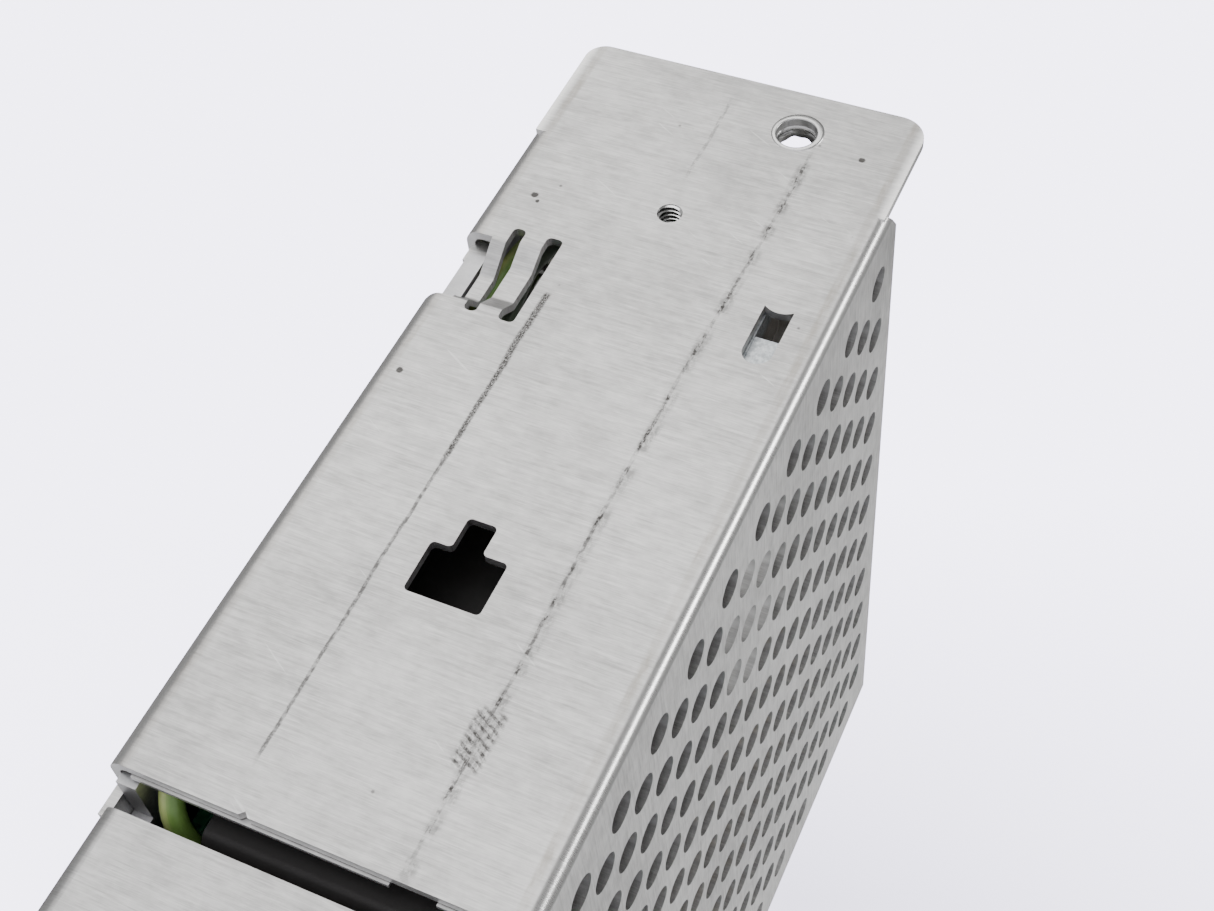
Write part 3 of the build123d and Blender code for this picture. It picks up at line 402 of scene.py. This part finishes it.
def plastic_finish(name, colour, roughness, texture=0.00002, coat=0.0):
    """Moulded plastic: an even colour with a faint spark-eroded texture."""
    f = Finish(name, colour, roughness, coat=coat)
    x, y, z = f.along(0), f.along(1), f.along(2)
    fine = f.noise(f.vector(x, y, z), 5.0, 2.0, 0.5)
    patch = f.noise(f.vector(x, y, z), 0.12, 3.0, 0.5)
    dark = shade(colour, 0.82)
    f.drive("Base Color", f.blend(patch, colour, dark))
    f.drive("Roughness", (patch - 0.5) * 0.12 + (fine - 0.5) * 0.08 + roughness)
    f.relief(fine, texture, 0.5)
    return f


def board_finish(name, colour):
    """Green board: solder mask over copper tracks, with pads in rows."""
    f = Finish(name, colour, 0.32, coat=0.35)
    x, y, z = f.along(0), f.along(1), f.along(2)
    level = x + y
    stairs = f.node("ShaderNodeTexBrick", {"offset": 0.35, "squash": 1.4, "squash_frequency": 3}, {
        "Vector": f.vector(level * 0.12, z * 0.12, 0.0),
        "Color1": (0.0, 0.0, 0.0, 1.0),
        "Color2": (1.0, 1.0, 1.0, 1.0),
        "Mortar": (0.5, 0.5, 0.5, 1.0),
        "Scale": 2.4,
        "Mortar Size": 0.03,
    })
    tracks = f.ramp(stairs, 0.2, 0.6)
    dots = f.cells(f.vector(x, y, z), 0.3)
    pads = 1.0 - f.ramp(dots, 0.14, 0.17)
    bright = tuple(min(1.0, value * 1.7 + 0.01) for value in colour)
    base = f.blend(tracks, colour, bright)
    f.drive("Base Color", f.blend(pads * 0.85, base, (0.55, 0.53, 0.48)))
    f.drive("Metallic", pads * 0.8)
    f.relief(tracks * 0.5 + pads * 0.5, 0.00006, 0.6)
    return f


def wire_finish(name, first, second):
    """Insulation in two colours that share the surface lengthways, as earth wire has."""
    f = Finish(name, first, 0.38, coat=0.25)
    x, y, z = f.along(0), f.along(1), f.along(2)
    twist = f.noise(f.vector(x, y, z), 0.05, 1.0, 0.4)
    side = f.facing(0) + f.facing(1) * 0.25 + (twist - 0.5) * 0.8
    share = f.ramp(side, -0.25, 0.45)
    soft = f.noise(f.vector(x, y, z), 0.7, 3.0, 0.6)
    one = f.blend(soft, first, shade(first, 0.8))
    other = f.blend(soft, second, shade(second, 0.8))
    f.drive("Base Color", f.blend(share, one, other))
    f.drive("Roughness", (soft - 0.5) * 0.15 + 0.38)
    f.relief(soft, 0.00004, 0.4)
    return f


def winding_finish(name, colour, metallic, pitch, axis):
    """Wire or tape laid in even turns across one axis."""
    f = Finish(name, colour, 0.35, metallic=metallic, coat=0.5)
    x, y, z = f.along(0), f.along(1), f.along(2)
    turns = (f.along(axis) * (math.tau / pitch)).sine() * 0.5 + 0.5
    patch = f.noise(f.vector(x, y, z), 0.3, 3.0, 0.6)
    dark = shade(colour, 0.55)
    f.drive("Base Color", f.blend(turns.power(3.0) * 0.5 + patch * 0.3, colour, dark))
    f.relief(1.0 - turns, 0.0001, 0.7)
    return f


def capacitor_finish(name, sleeve, crown_x):
    """Shrink sleeve with a pale stripe down one side and a bare metal end."""
    f = Finish(name, sleeve, 0.3, coat=0.5)
    x, y, z = f.along(0), f.along(1), f.along(2)
    end = 1.0 - f.ramp(x, crown_x, crown_x + 0.3)
    stripe = f.ramp(f.facing(2), 0.92, 0.94)
    dashes = f.ramp((x * 1.1).sine(), 0.0, 0.2)
    pale = tuple(min(1.0, value * 6 + 0.15) for value in sleeve)
    base = f.blend(stripe * (0.6 + dashes * 0.3), sleeve, pale)
    f.drive("Base Color", f.blend(end, base, (0.72, 0.72, 0.73)))
    f.drive("Metallic", end)
    f.drive("Roughness", end * 0.1 + f.noise(f.vector(x, y, z), 1.2, 3.0, 0.6) * 0.15 + 0.22)
    return f


def foam_finish(name, colour):
    """Closed cell foam: pale, matt, with small pits."""
    f = Finish(name, colour, 0.85)
    x, y, z = f.along(0), f.along(1), f.along(2)
    pits = f.cells(f.vector(x, y, z), 1.6)
    f.drive("Base Color", f.blend(f.ramp(pits, 0.1, 0.5), shade(colour, 0.7), colour))
    f.relief(pits, 0.00012, 0.8)
    return f


# ---- settings a user would change ----------------------------------------------------------


class SheetSettings(bpy.types.PropertyGroup):
    """Look of the aluminium sheet."""

    colour: bpy.props.FloatVectorProperty(
        name="Colour", description="Colour of the rolled sheet", subtype="COLOR",
        default=(0.74, 0.735, 0.725), min=0.0, max=1.0,
    )
    roughness: bpy.props.FloatProperty(
        name="Roughness", description="Mean roughness of the sheet", default=0.40, min=0.05, max=1.0
    )
    grain_depth: bpy.props.FloatProperty(
        name="Grain depth", description="Depth of the rolling grain in millimetres", default=0.018
    )


class WireSettings(bpy.types.PropertyGroup):
    """Colours of the insulation."""

    earth_first: bpy.props.FloatVectorProperty(
        name="Earth wire, first", description="Darker colour of the earth wire", subtype="COLOR",
        default=(0.22, 0.40, 0.09),
    )
    earth_second: bpy.props.FloatVectorProperty(
        name="Earth wire, second", description="Lighter colour of the earth wire", subtype="COLOR",
        default=(0.56, 0.66, 0.24),
    )
    lead: bpy.props.FloatVectorProperty(
        name="Lead", description="Colour of the signal lead", subtype="COLOR",
        default=(0.10, 0.125, 0.085),
    )


class ThreadSettings(bpy.types.PropertyGroup):
    """Sizes of the tapped hole's thread and of the flange hole's rim and collar, in millimetres."""

    pitch: bpy.props.FloatProperty(name="Pitch", description="Rise of each turn", default=0.7, min=0.3)
    depth: bpy.props.FloatProperty(name="Depth", description="Height of the ridge", default=0.26, min=0.05)
    collar_length: bpy.props.FloatProperty(
        name="Collar length", description="Depth of the collar behind the flange", default=2.4
    )
    burr_width: bpy.props.FloatProperty(
        name="Burr width", description="Width of the rolled rim", default=0.75
    )
    burr_height: bpy.props.FloatProperty(name="Burr height", description="Height of the rim", default=0.10)


class StageSettings(bpy.types.PropertyGroup):
    """The studio round the object."""

    floor_size: bpy.props.FloatProperty(
        name="Floor size", description="Side of the floor", default=6.0, unit="LENGTH"
    )
    floor_glow: bpy.props.FloatProperty(
        name="Floor glow", description="Light given off by the floor, to keep it pale", default=0.22
    )
    floor_colour: bpy.props.FloatVectorProperty(
        name="Floor colour", description="Colour of the floor", subtype="COLOR",
        default=(0.86, 0.86, 0.90),
    )
    background: bpy.props.FloatVectorProperty(
        name="Background", description="Colour behind the object", subtype="COLOR",
        default=(0.84, 0.815, 1.0),
    )
    background_shade: bpy.props.FloatProperty(
        name="Background shade", description="How much darker the background is low down", default=0.5
    )
    background_level: bpy.props.FloatProperty(
        name="Background level", description="Brightness of the background", default=5.9
    )
    ambient_level: bpy.props.FloatProperty(
        name="Ambient level", description="Brightness of the light from all round", default=0.27
    )
    lens: bpy.props.FloatProperty(
        name="Lens", description="Focal length on a 36 mm sensor, in millimetres", default=52.68
    )


def settings(name):
    return getattr(bpy.context.scene, name)


# ---- operators: one for each piece or group of like pieces ---------------------------------


class SUPPLY_OT_case(bpy.types.Operator):
    """Gives the bent case its rolled, handled aluminium finish"""

    bl_idname = "supply.case"
    bl_label = "Case"

    def execute(self, context):
        wear("chassis", sheet_finish("handled_sheet", settings("supply_sheet"), marks=True))
        return {"FINISHED"}


class SUPPLY_OT_cover(bpy.types.Operator):
    """Gives the front cover, the liner and the heat spreaders a clean aluminium finish"""

    bl_idname = "supply.cover"
    bl_label = "Cover and liners"

    def execute(self, context):
        clean = sheet_finish("clean_sheet", settings("supply_sheet"), marks=False)
        wear("front_cover", "rear_liner", clean)
        milled = metal_finish("mill_aluminium", (0.66, 0.66, 0.67), 0.45)
        wear("wall_heat_sink", "device_heat_sinks", milled)
        return {"FINISHED"}


class SUPPLY_OT_fasteners(bpy.types.Operator):
    """Plates the screws, spacers and rivets"""

    bl_idname = "supply.fasteners"
    bl_label = "Fasteners"

    def execute(self, context):
        zinc = metal_finish("zinc_plating", (0.60, 0.60, 0.60), 0.30)
        wear("cover_screws", "wall_screws", "board_screws", "pe_screw", zinc)
        wear("board_spacers", "pe_ring_lug", metal_finish("nickel_plating", (0.66, 0.63, 0.57), 0.25))
        wear("latch_rivets", metal_finish("rivet_aluminium", (0.68, 0.68, 0.68), 0.38))
        return {"FINISHED"}


class SUPPLY_OT_rail_parts(bpy.types.Operator):
    """Finishes the latch, its spring and guides, the rail seat and the bracket"""

    bl_idname = "supply.rail_parts"
    bl_label = "Rail parts"

    def execute(self, context):
        wear("din_latch", "latch_guides", metal_finish("latch_steel", (0.50, 0.50, 0.51), 0.34))
        wear("latch_spring", metal_finish("spring_wire", (0.55, 0.55, 0.57), 0.22, grain=0.2))
        wear("rail_seat", plastic_finish("black_moulding", (0.014, 0.012, 0.0115), 0.62))
        wear("rear_bracket", bracket_finish("bracket_zinc", (0.60, 0.63, 0.65), 0.40))
        wear("side_spacer", foam_finish("white_foam", (0.86, 0.86, 0.84)))
        return {"FINISHED"}


class SUPPLY_OT_wires(bpy.types.Operator):
    """Colours the earth wire, the signal lead and its header"""

    bl_idname = "supply.wires"
    bl_label = "Wires"

    def execute(self, context):
        look = settings("supply_wires")
        wear("pe_wire", wire_finish("earth_insulation", look.earth_first, look.earth_second))
        wear("signal_lead", plastic_finish("lead_insulation", look.lead, 0.4, coat=0.2))
        wear("lead_header", plastic_finish("header_nylon", (0.75, 0.74, 0.68), 0.45))
        return {"FINISHED"}


class SUPPLY_OT_boards(bpy.types.Operator):
    """Gives the circuit boards their mask, tracks and pads"""

    bl_idname = "supply.boards"
    bl_label = "Boards"

    def execute(self, context):
        green = board_finish("solder_mask", (0.014, 0.085, 0.034))
        wear("main_board", "control_board", "terminal_boards", "front_board", green)
        return {"FINISHED"}


class SUPPLY_OT_power_parts(bpy.types.Operator):
    """Finishes the capacitors, wound parts, semiconductors, fuse and relay"""

    bl_idname = "supply.power_parts"
    bl_label = "Power parts"

    def execute(self, context):
        wear("input_capacitors", capacitor_finish("input_sleeve", (0.012, 0.014, 0.022), -18.4))
        wear("output_capacitors", capacitor_finish("output_sleeve", (0.02, 0.012, 0.035), -4.6))
        wear("transformer_core", "line_choke_core",
             plastic_finish("ferrite", (0.05, 0.05, 0.054), 0.5, 0.00005))
        wear("transformer_winding", winding_finish("winding_tape", (0.80, 0.56, 0.07), 0.0, 3.0, 0))
        wear("transformer_bobbin", plastic_finish("bobbin_resin", (0.03, 0.028, 0.026), 0.5))
        wear("power_transistors", "output_diodes", "bridge_rectifier",
             plastic_finish("moulded_epoxy", (0.014, 0.014, 0.015), 0.45, 0.00004))
        wear("output_choke_core", plastic_finish("powder_core", (0.05, 0.22, 0.15), 0.45))
        wear("output_choke_winding", "line_choke_winding",
             metal_finish("enamelled_copper", (0.62, 0.24, 0.09), 0.28))
        wear("x_capacitors", plastic_finish("film_capacitor", (0.72, 0.52, 0.10), 0.35, coat=0.2))
        wear("varistor", plastic_finish("dipped_resin", (0.02, 0.10, 0.42), 0.25, 0.00006, coat=0.5))
        wear("line_fuse", plastic_finish("fuse_ceramic", (0.74, 0.72, 0.66), 0.3))
        wear("inrush_relay", plastic_finish("relay_case", (0.03, 0.11, 0.33), 0.35, coat=0.2))
        return {"FINISHED"}


class SUPPLY_OT_terminals(bpy.types.Operator):
    """Finishes the terminal blocks, their screws, cages and bus bars"""

    bl_idname = "supply.terminals"
    bl_label = "Terminals"

    def execute(self, context):
        body = plastic_finish("terminal_polyamide", (0.022, 0.17, 0.06), 0.42, 0.00004)
        plated = metal_finish("terminal_nickel", (0.68, 0.66, 0.61), 0.28)
        screws = metal_finish("terminal_screws", (0.58, 0.58, 0.58), 0.30)
        for side in ("input", "output"):
            wear(f"{side}_terminal_block", body)
            wear(f"{side}_busbars", plated)
            for pole in (1, 2, 3):
                wear(f"{side}_cage_{pole}", plated)
                wear(f"{side}_screw_{pole}", screws)
        return {"FINISHED"}


class SUPPLY_OT_indicators(bpy.types.Operator):
    """Finishes the light and the trimmer"""

    bl_idname = "supply.indicators"
    bl_label = "Light and trimmer"

    def execute(self, context):
        lens = Finish("led_lens", (0.10, 0.62, 0.16), 0.12, clear=0.55)
        wear("status_led", lens)
        wear("trim_pot_body", plastic_finish("trimmer_body", (0.03, 0.13, 0.48), 0.4))
        wear("trim_pot_knob", plastic_finish("trimmer_rotor", (0.84, 0.83, 0.78), 0.4))
        return {"FINISHED"}


class SUPPLY_OT_thread(bpy.types.Operator):
    """Lays the thread ridge in the tapped hole"""

    bl_idname = "supply.thread"
    bl_label = "Tapped thread"

    def execute(self, context):
        """The ridge is a three-sided profile carried up a helix: angle and height grow
        together, and the radius is the hole's, less the ridge depth at the crest."""
        look = settings("supply_thread")
        turns = (THREAD_LENGTH - 0.5) / look.pitch
        angle = np.linspace(0.0, math.tau * turns, 300)
        ends = np.clip(np.minimum(angle, angle[-1] - angle) / 1.2, 0.02, 1.0)
        radius = np.array([0.03, 0.0, -1.0, -1.0, 0.0])
        along = np.array([0.0, -0.27, -0.09, 0.09, 0.27]) * look.pitch
        inward = np.where(radius < 0, look.depth, 0.0)
        r = THREAD_MINOR_R + 0.02 - inward[None, :] * ends[:, None]
        r[:, 0] = THREAD_MINOR_R + 0.05
        depth = 0.25 + (angle / math.tau * look.pitch)[:, None] + along[None, :] * ends[:, None]
        x = THREAD_HOLE[0] + r * np.cos(angle)[:, None]
        z = THREAD_HOLE[1] + r * np.sin(angle)[:, None]
        y = REAR - depth
        points = np.stack([x, y, z], axis=-1).reshape(-1, 3) * MM
        faces = grid_faces(len(angle), 5, close_columns=True)
        last = len(points) - 5
        caps = np.array([[0, 1, 2, 3], [last + 3, last + 2, last + 1, last]])
        finish = metal_finish("cut_thread", (0.90, 0.90, 0.89), 0.16)
        piece = mesh_piece("earth_thread_ridge", points, np.vstack([faces, caps]), finish, smooth=False)
        return {"FINISHED"}


class SUPPLY_OT_burr(bpy.types.Operator):
    """Rolls the rim round the flange screw hole"""

    bl_idname = "supply.burr"
    bl_label = "Flange hole rim"

    def execute(self, context):
        """The rim is a closed profile turned about the hole's axis; its width swells and
        thins round the circle as 1 plus a quarter of the cosine of the angle."""
        look = settings("supply_thread")
        angle = np.linspace(0.0, math.tau, 96, endpoint=False)
        swell = 1.0 + 0.25 * np.cos(angle - 2.2)
        out = np.array([-0.06, -0.02, 0.12, 0.35, 0.65, 1.0, 1.0, -0.06]) * look.burr_width
        rise = np.array([-0.5, 0.3, 0.9, 1.0, 0.55, 0.0, -1.0, -1.0]) * look.burr_height
        r = FLANGE_HOLE_R + out[None, :] * swell[:, None]
        y = REAR + rise[None, :] * (0.6 + 0.4 * swell[:, None])
        x = FLANGE_HOLE[0] + r * np.cos(angle)[:, None]
        z = FLANGE_HOLE[1] + r * np.sin(angle)[:, None]
        points = np.stack([x, y + np.zeros_like(x), z], axis=-1).reshape(-1, 3) * MM
        faces = grid_faces(len(angle), 8, close_rows=True, close_columns=True)
        finish = metal_finish("rolled_rim", (0.80, 0.80, 0.79), 0.30)
        piece = mesh_piece("flange_hole_rim", points, faces, finish)
        return {"FINISHED"}


# The camera's place, the way it looks and its up direction, in the frame's axes.
CAMERA_PLACE = (-0.0706, 0.2228, 0.0096)
CAMERA_AHEAD = (0.310, -0.794, 0.523)
CAMERA_UP = (0.290, 0.603, 0.743)
BACKGROUND_ACROSS = (-0.905, -0.079, 0.417)
# name, place in metres, what it points at, width and height in metres, power in watts, colour
LIGHTS = (
    ("key_light", (0.42, 1.10, 0.80), (0.0, 0.06, 0.12), 1.3, 1.0, 8.0, (1.0, 0.99, 0.98)),
    ("fill_light", (-0.95, 0.40, 0.72), (0.0, 0.05, 0.10), 0.35, 0.5, 4.5, (1.0, 1.0, 1.0)),
    ("front_light", (-0.30, -1.20, 0.80), (0.0, 0.0, 0.09), 1.0, 0.8, 2.0, (1.0, 1.0, 1.0)),
    ("low_light", (0.10, 0.55, -0.0), (0.0, 0.06, 0.06), 0.5, 0.3, 0.8, (1.0, 1.0, 1.0)),
)


class SUPPLY_OT_collar(bpy.types.Operator):
    """Draws the short collar behind the flange screw hole"""

    bl_idname = "supply.collar"
    bl_label = "Flange hole collar"

    def execute(self, context):
        """The collar is a closed four-cornered profile turned about the hole's axis; its far
        end runs in and out by a third of a millimetre times two cosines of the angle."""
        look = settings("supply_thread")
        angle = np.linspace(0.0, math.tau, 96, endpoint=False)[:, None]
        far = look.collar_length + 0.35 * np.cos(2.0 * angle + 0.8) + 0.12 * np.cos(9.0 * angle)
        out = np.array([0.03, 0.55, 0.40, 0.05])[None, :]
        deep = np.array([0.0, 0.0, 1.0, 1.0])[None, :]
        r = FLANGE_HOLE_R + out + 0.0 * angle
        y = REAR - COLLAR_START - deep * far
        x = FLANGE_HOLE[0] + r * np.cos(angle)
        z = FLANGE_HOLE[1] + r * np.sin(angle)
        points = np.stack([x, y, z], axis=-1).reshape(-1, 3) * MM
        faces = grid_faces(len(angle), 4, close_rows=True, close_columns=True)
        f = Finish("drawn_collar", (0.62, 0.61, 0.60), 0.24, metallic=1.0)
        px, py, pz = f.along(0), f.along(1), f.along(2)
        # painted shade: the collar turns dark deeper inside the hole
        painted_depth_shade = f.ramp(py + (f.noise(f.vector(px, py, pz), 0.8, 3.0) - 0.5) * 1.5, REAR - 3.4, REAR - 1.6)
        f.drive("Base Color", f.blend(painted_depth_shade, (0.07, 0.065, 0.06), (0.66, 0.66, 0.65)))
        piece = mesh_piece("flange_hole_collar", points, faces, f)
        return {"FINISHED"}


class SUPPLY_OT_stage(bpy.types.Operator):
    """Sets the floor, the background, the lights and the camera"""

    bl_idname = "supply.stage"
    bl_label = "Studio"

    def execute(self, context):
        look = settings("supply_stage")
        half = look.floor_size / 2
        corners = np.array([[-1, -1, 0.0], [1, -1, 0.0], [1, 1, 0.0], [-1, 1, 0.0]]) * half
        mesh = bpy.data.meshes.new("floor")
        mesh.from_pydata(corners.tolist(), [], [[0, 1, 2, 3]])
        floor = bpy.data.objects.new("floor", mesh)
        context.scene.collection.objects.link(floor)
        paper = Finish("floor_paper", look.floor_colour, 0.75)
        paper.shader.inputs["Emission Color"].default_value = (*look.floor_colour, 1.0)
        paper.shader.inputs["Emission Strength"].default_value = look.floor_glow
        mesh.materials.append(paper.material)
        floor.location.z = CAD_BOX[0].z - 0.0002
        self.sky(context, look)
        for name, place, target, wide, high, power, colour in LIGHTS:
            data = bpy.data.lights.new(name, "AREA")
            data.shape = "RECTANGLE"
            data.size, data.size_y = wide, high
            data.energy = power
            data.color = colour
            light = bpy.data.objects.new(name, data)
            context.scene.collection.objects.link(light)
            light.location = place
            aim = Vector(target) - Vector(place)
            light.rotation_euler = aim.to_track_quat("-Z", "Y").to_euler()
        self.camera(context, look)
        return {"FINISHED"}

    def sky(self, context, look):
        """A pale background, a little darker low on one side, and a dimmer even light."""
        world = bpy.data.worlds.new("studio")
        context.scene.world = world
        world.use_nodes = True
        tree = world.node_tree
        tree.nodes.clear()
        out = tree.nodes.new("ShaderNodeOutputWorld")
        mix = tree.nodes.new("ShaderNodeMixShader")
        seen = tree.nodes.new("ShaderNodeBackground")
        light = tree.nodes.new("ShaderNodeBackground")
        path = tree.nodes.new("ShaderNodeLightPath")
        seen.inputs[0].default_value = (*look.background, 1.0)
        shade = self.low_shade(tree) * -look.background_shade + 1.0
        tree.links.new((shade * look.background_level).socket, seen.inputs[1])
        light.inputs[0].default_value = (1.0, 1.0, 1.0, 1.0)
        light.inputs[1].default_value = look.ambient_level
        tree.links.new(path.outputs["Is Camera Ray"], mix.inputs[0])
        tree.links.new(light.outputs[0], mix.inputs[1])
        tree.links.new(seen.outputs[0], mix.inputs[2])
        tree.links.new(mix.outputs[0], out.inputs[0])

    def low_shade(self, tree):
        """1 toward the low side of the background, 0 elsewhere, by direction alone."""
        place = tree.nodes.new("ShaderNodeTexCoord")
        parts = []
        for direction in (CAMERA_UP, BACKGROUND_ACROSS):
            dot = tree.nodes.new("ShaderNodeVectorMath")
            dot.operation = "DOT_PRODUCT"
            tree.links.new(place.outputs["Generated"], dot.inputs[0])
            dot.inputs[1].default_value = direction
            parts.append(Ink(tree, dot.outputs["Value"]))
        low = ((parts[0] + 0.02) * -4.5).most(0.0).least(1.0)
        middle = (1.0 - abs(parts[1] - 0.10) * 2.2).most(0.0)
        return low * middle

    def camera(self, context, look):
        ahead = Vector(CAMERA_AHEAD).normalized()
        right = ahead.cross(Vector(CAMERA_UP)).normalized()
        up = right.cross(ahead)
        data = bpy.data.cameras.new("camera")
        data.lens = look.lens
        data.sensor_width = 36.0
        data.clip_start = 0.005
        data.clip_end = 50.0
        camera = bpy.data.objects.new("camera", data)
        context.scene.collection.objects.link(camera)
        turn = Matrix((right, up, -ahead)).transposed().to_4x4()
        camera.matrix_world = Matrix.Translation(CAMERA_PLACE) @ turn
        context.scene.camera = camera


STEPS = (
    SUPPLY_OT_case,
    SUPPLY_OT_cover,
    SUPPLY_OT_fasteners,
    SUPPLY_OT_rail_parts,
    SUPPLY_OT_wires,
    SUPPLY_OT_boards,
    SUPPLY_OT_power_parts,
    SUPPLY_OT_terminals,
    SUPPLY_OT_indicators,
    SUPPLY_OT_thread,
    SUPPLY_OT_burr,
    SUPPLY_OT_collar,
    SUPPLY_OT_stage,
)


class SUPPLY_PT_panel(bpy.types.Panel):
    """Lists the steps and their settings"""

    bl_idname = "SUPPLY_PT_panel"
    bl_label = "Power Supply"
    bl_space_type = "VIEW_3D"
    bl_region_type = "UI"
    bl_category = "Power Supply"

    def draw(self, context):
        for step in STEPS:
            self.layout.operator(step.bl_idname)
        for group_name in GROUPS:
            box = self.layout.box()
            group = getattr(context.scene, group_name)
            for name in group.bl_rna.properties.keys():
                if name not in ("rna_type", "name"):
                    box.prop(group, name)


GROUPS = {
    "supply_sheet": SheetSettings,
    "supply_wires": WireSettings,
    "supply_thread": ThreadSettings,
    "supply_stage": StageSettings,
}


def register():
    for group_name, group in GROUPS.items():
        bpy.utils.register_class(group)
        setattr(bpy.types.Scene, group_name, bpy.props.PointerProperty(type=group))
    for step in STEPS:
        bpy.utils.register_class(step)
    bpy.utils.register_class(SUPPLY_PT_panel)


def unregister():
    bpy.utils.unregister_class(SUPPLY_PT_panel)
    for step in reversed(STEPS):
        bpy.utils.unregister_class(step)
    for group_name, group in GROUPS.items():
        delattr(bpy.types.Scene, group_name)
        bpy.utils.unregister_class(group)


def main():
    register()
    for step in STEPS:
        section, action = step.bl_idname.split(".")
        getattr(getattr(bpy.ops, section), action)()


if __name__ == "__main__":
    main()
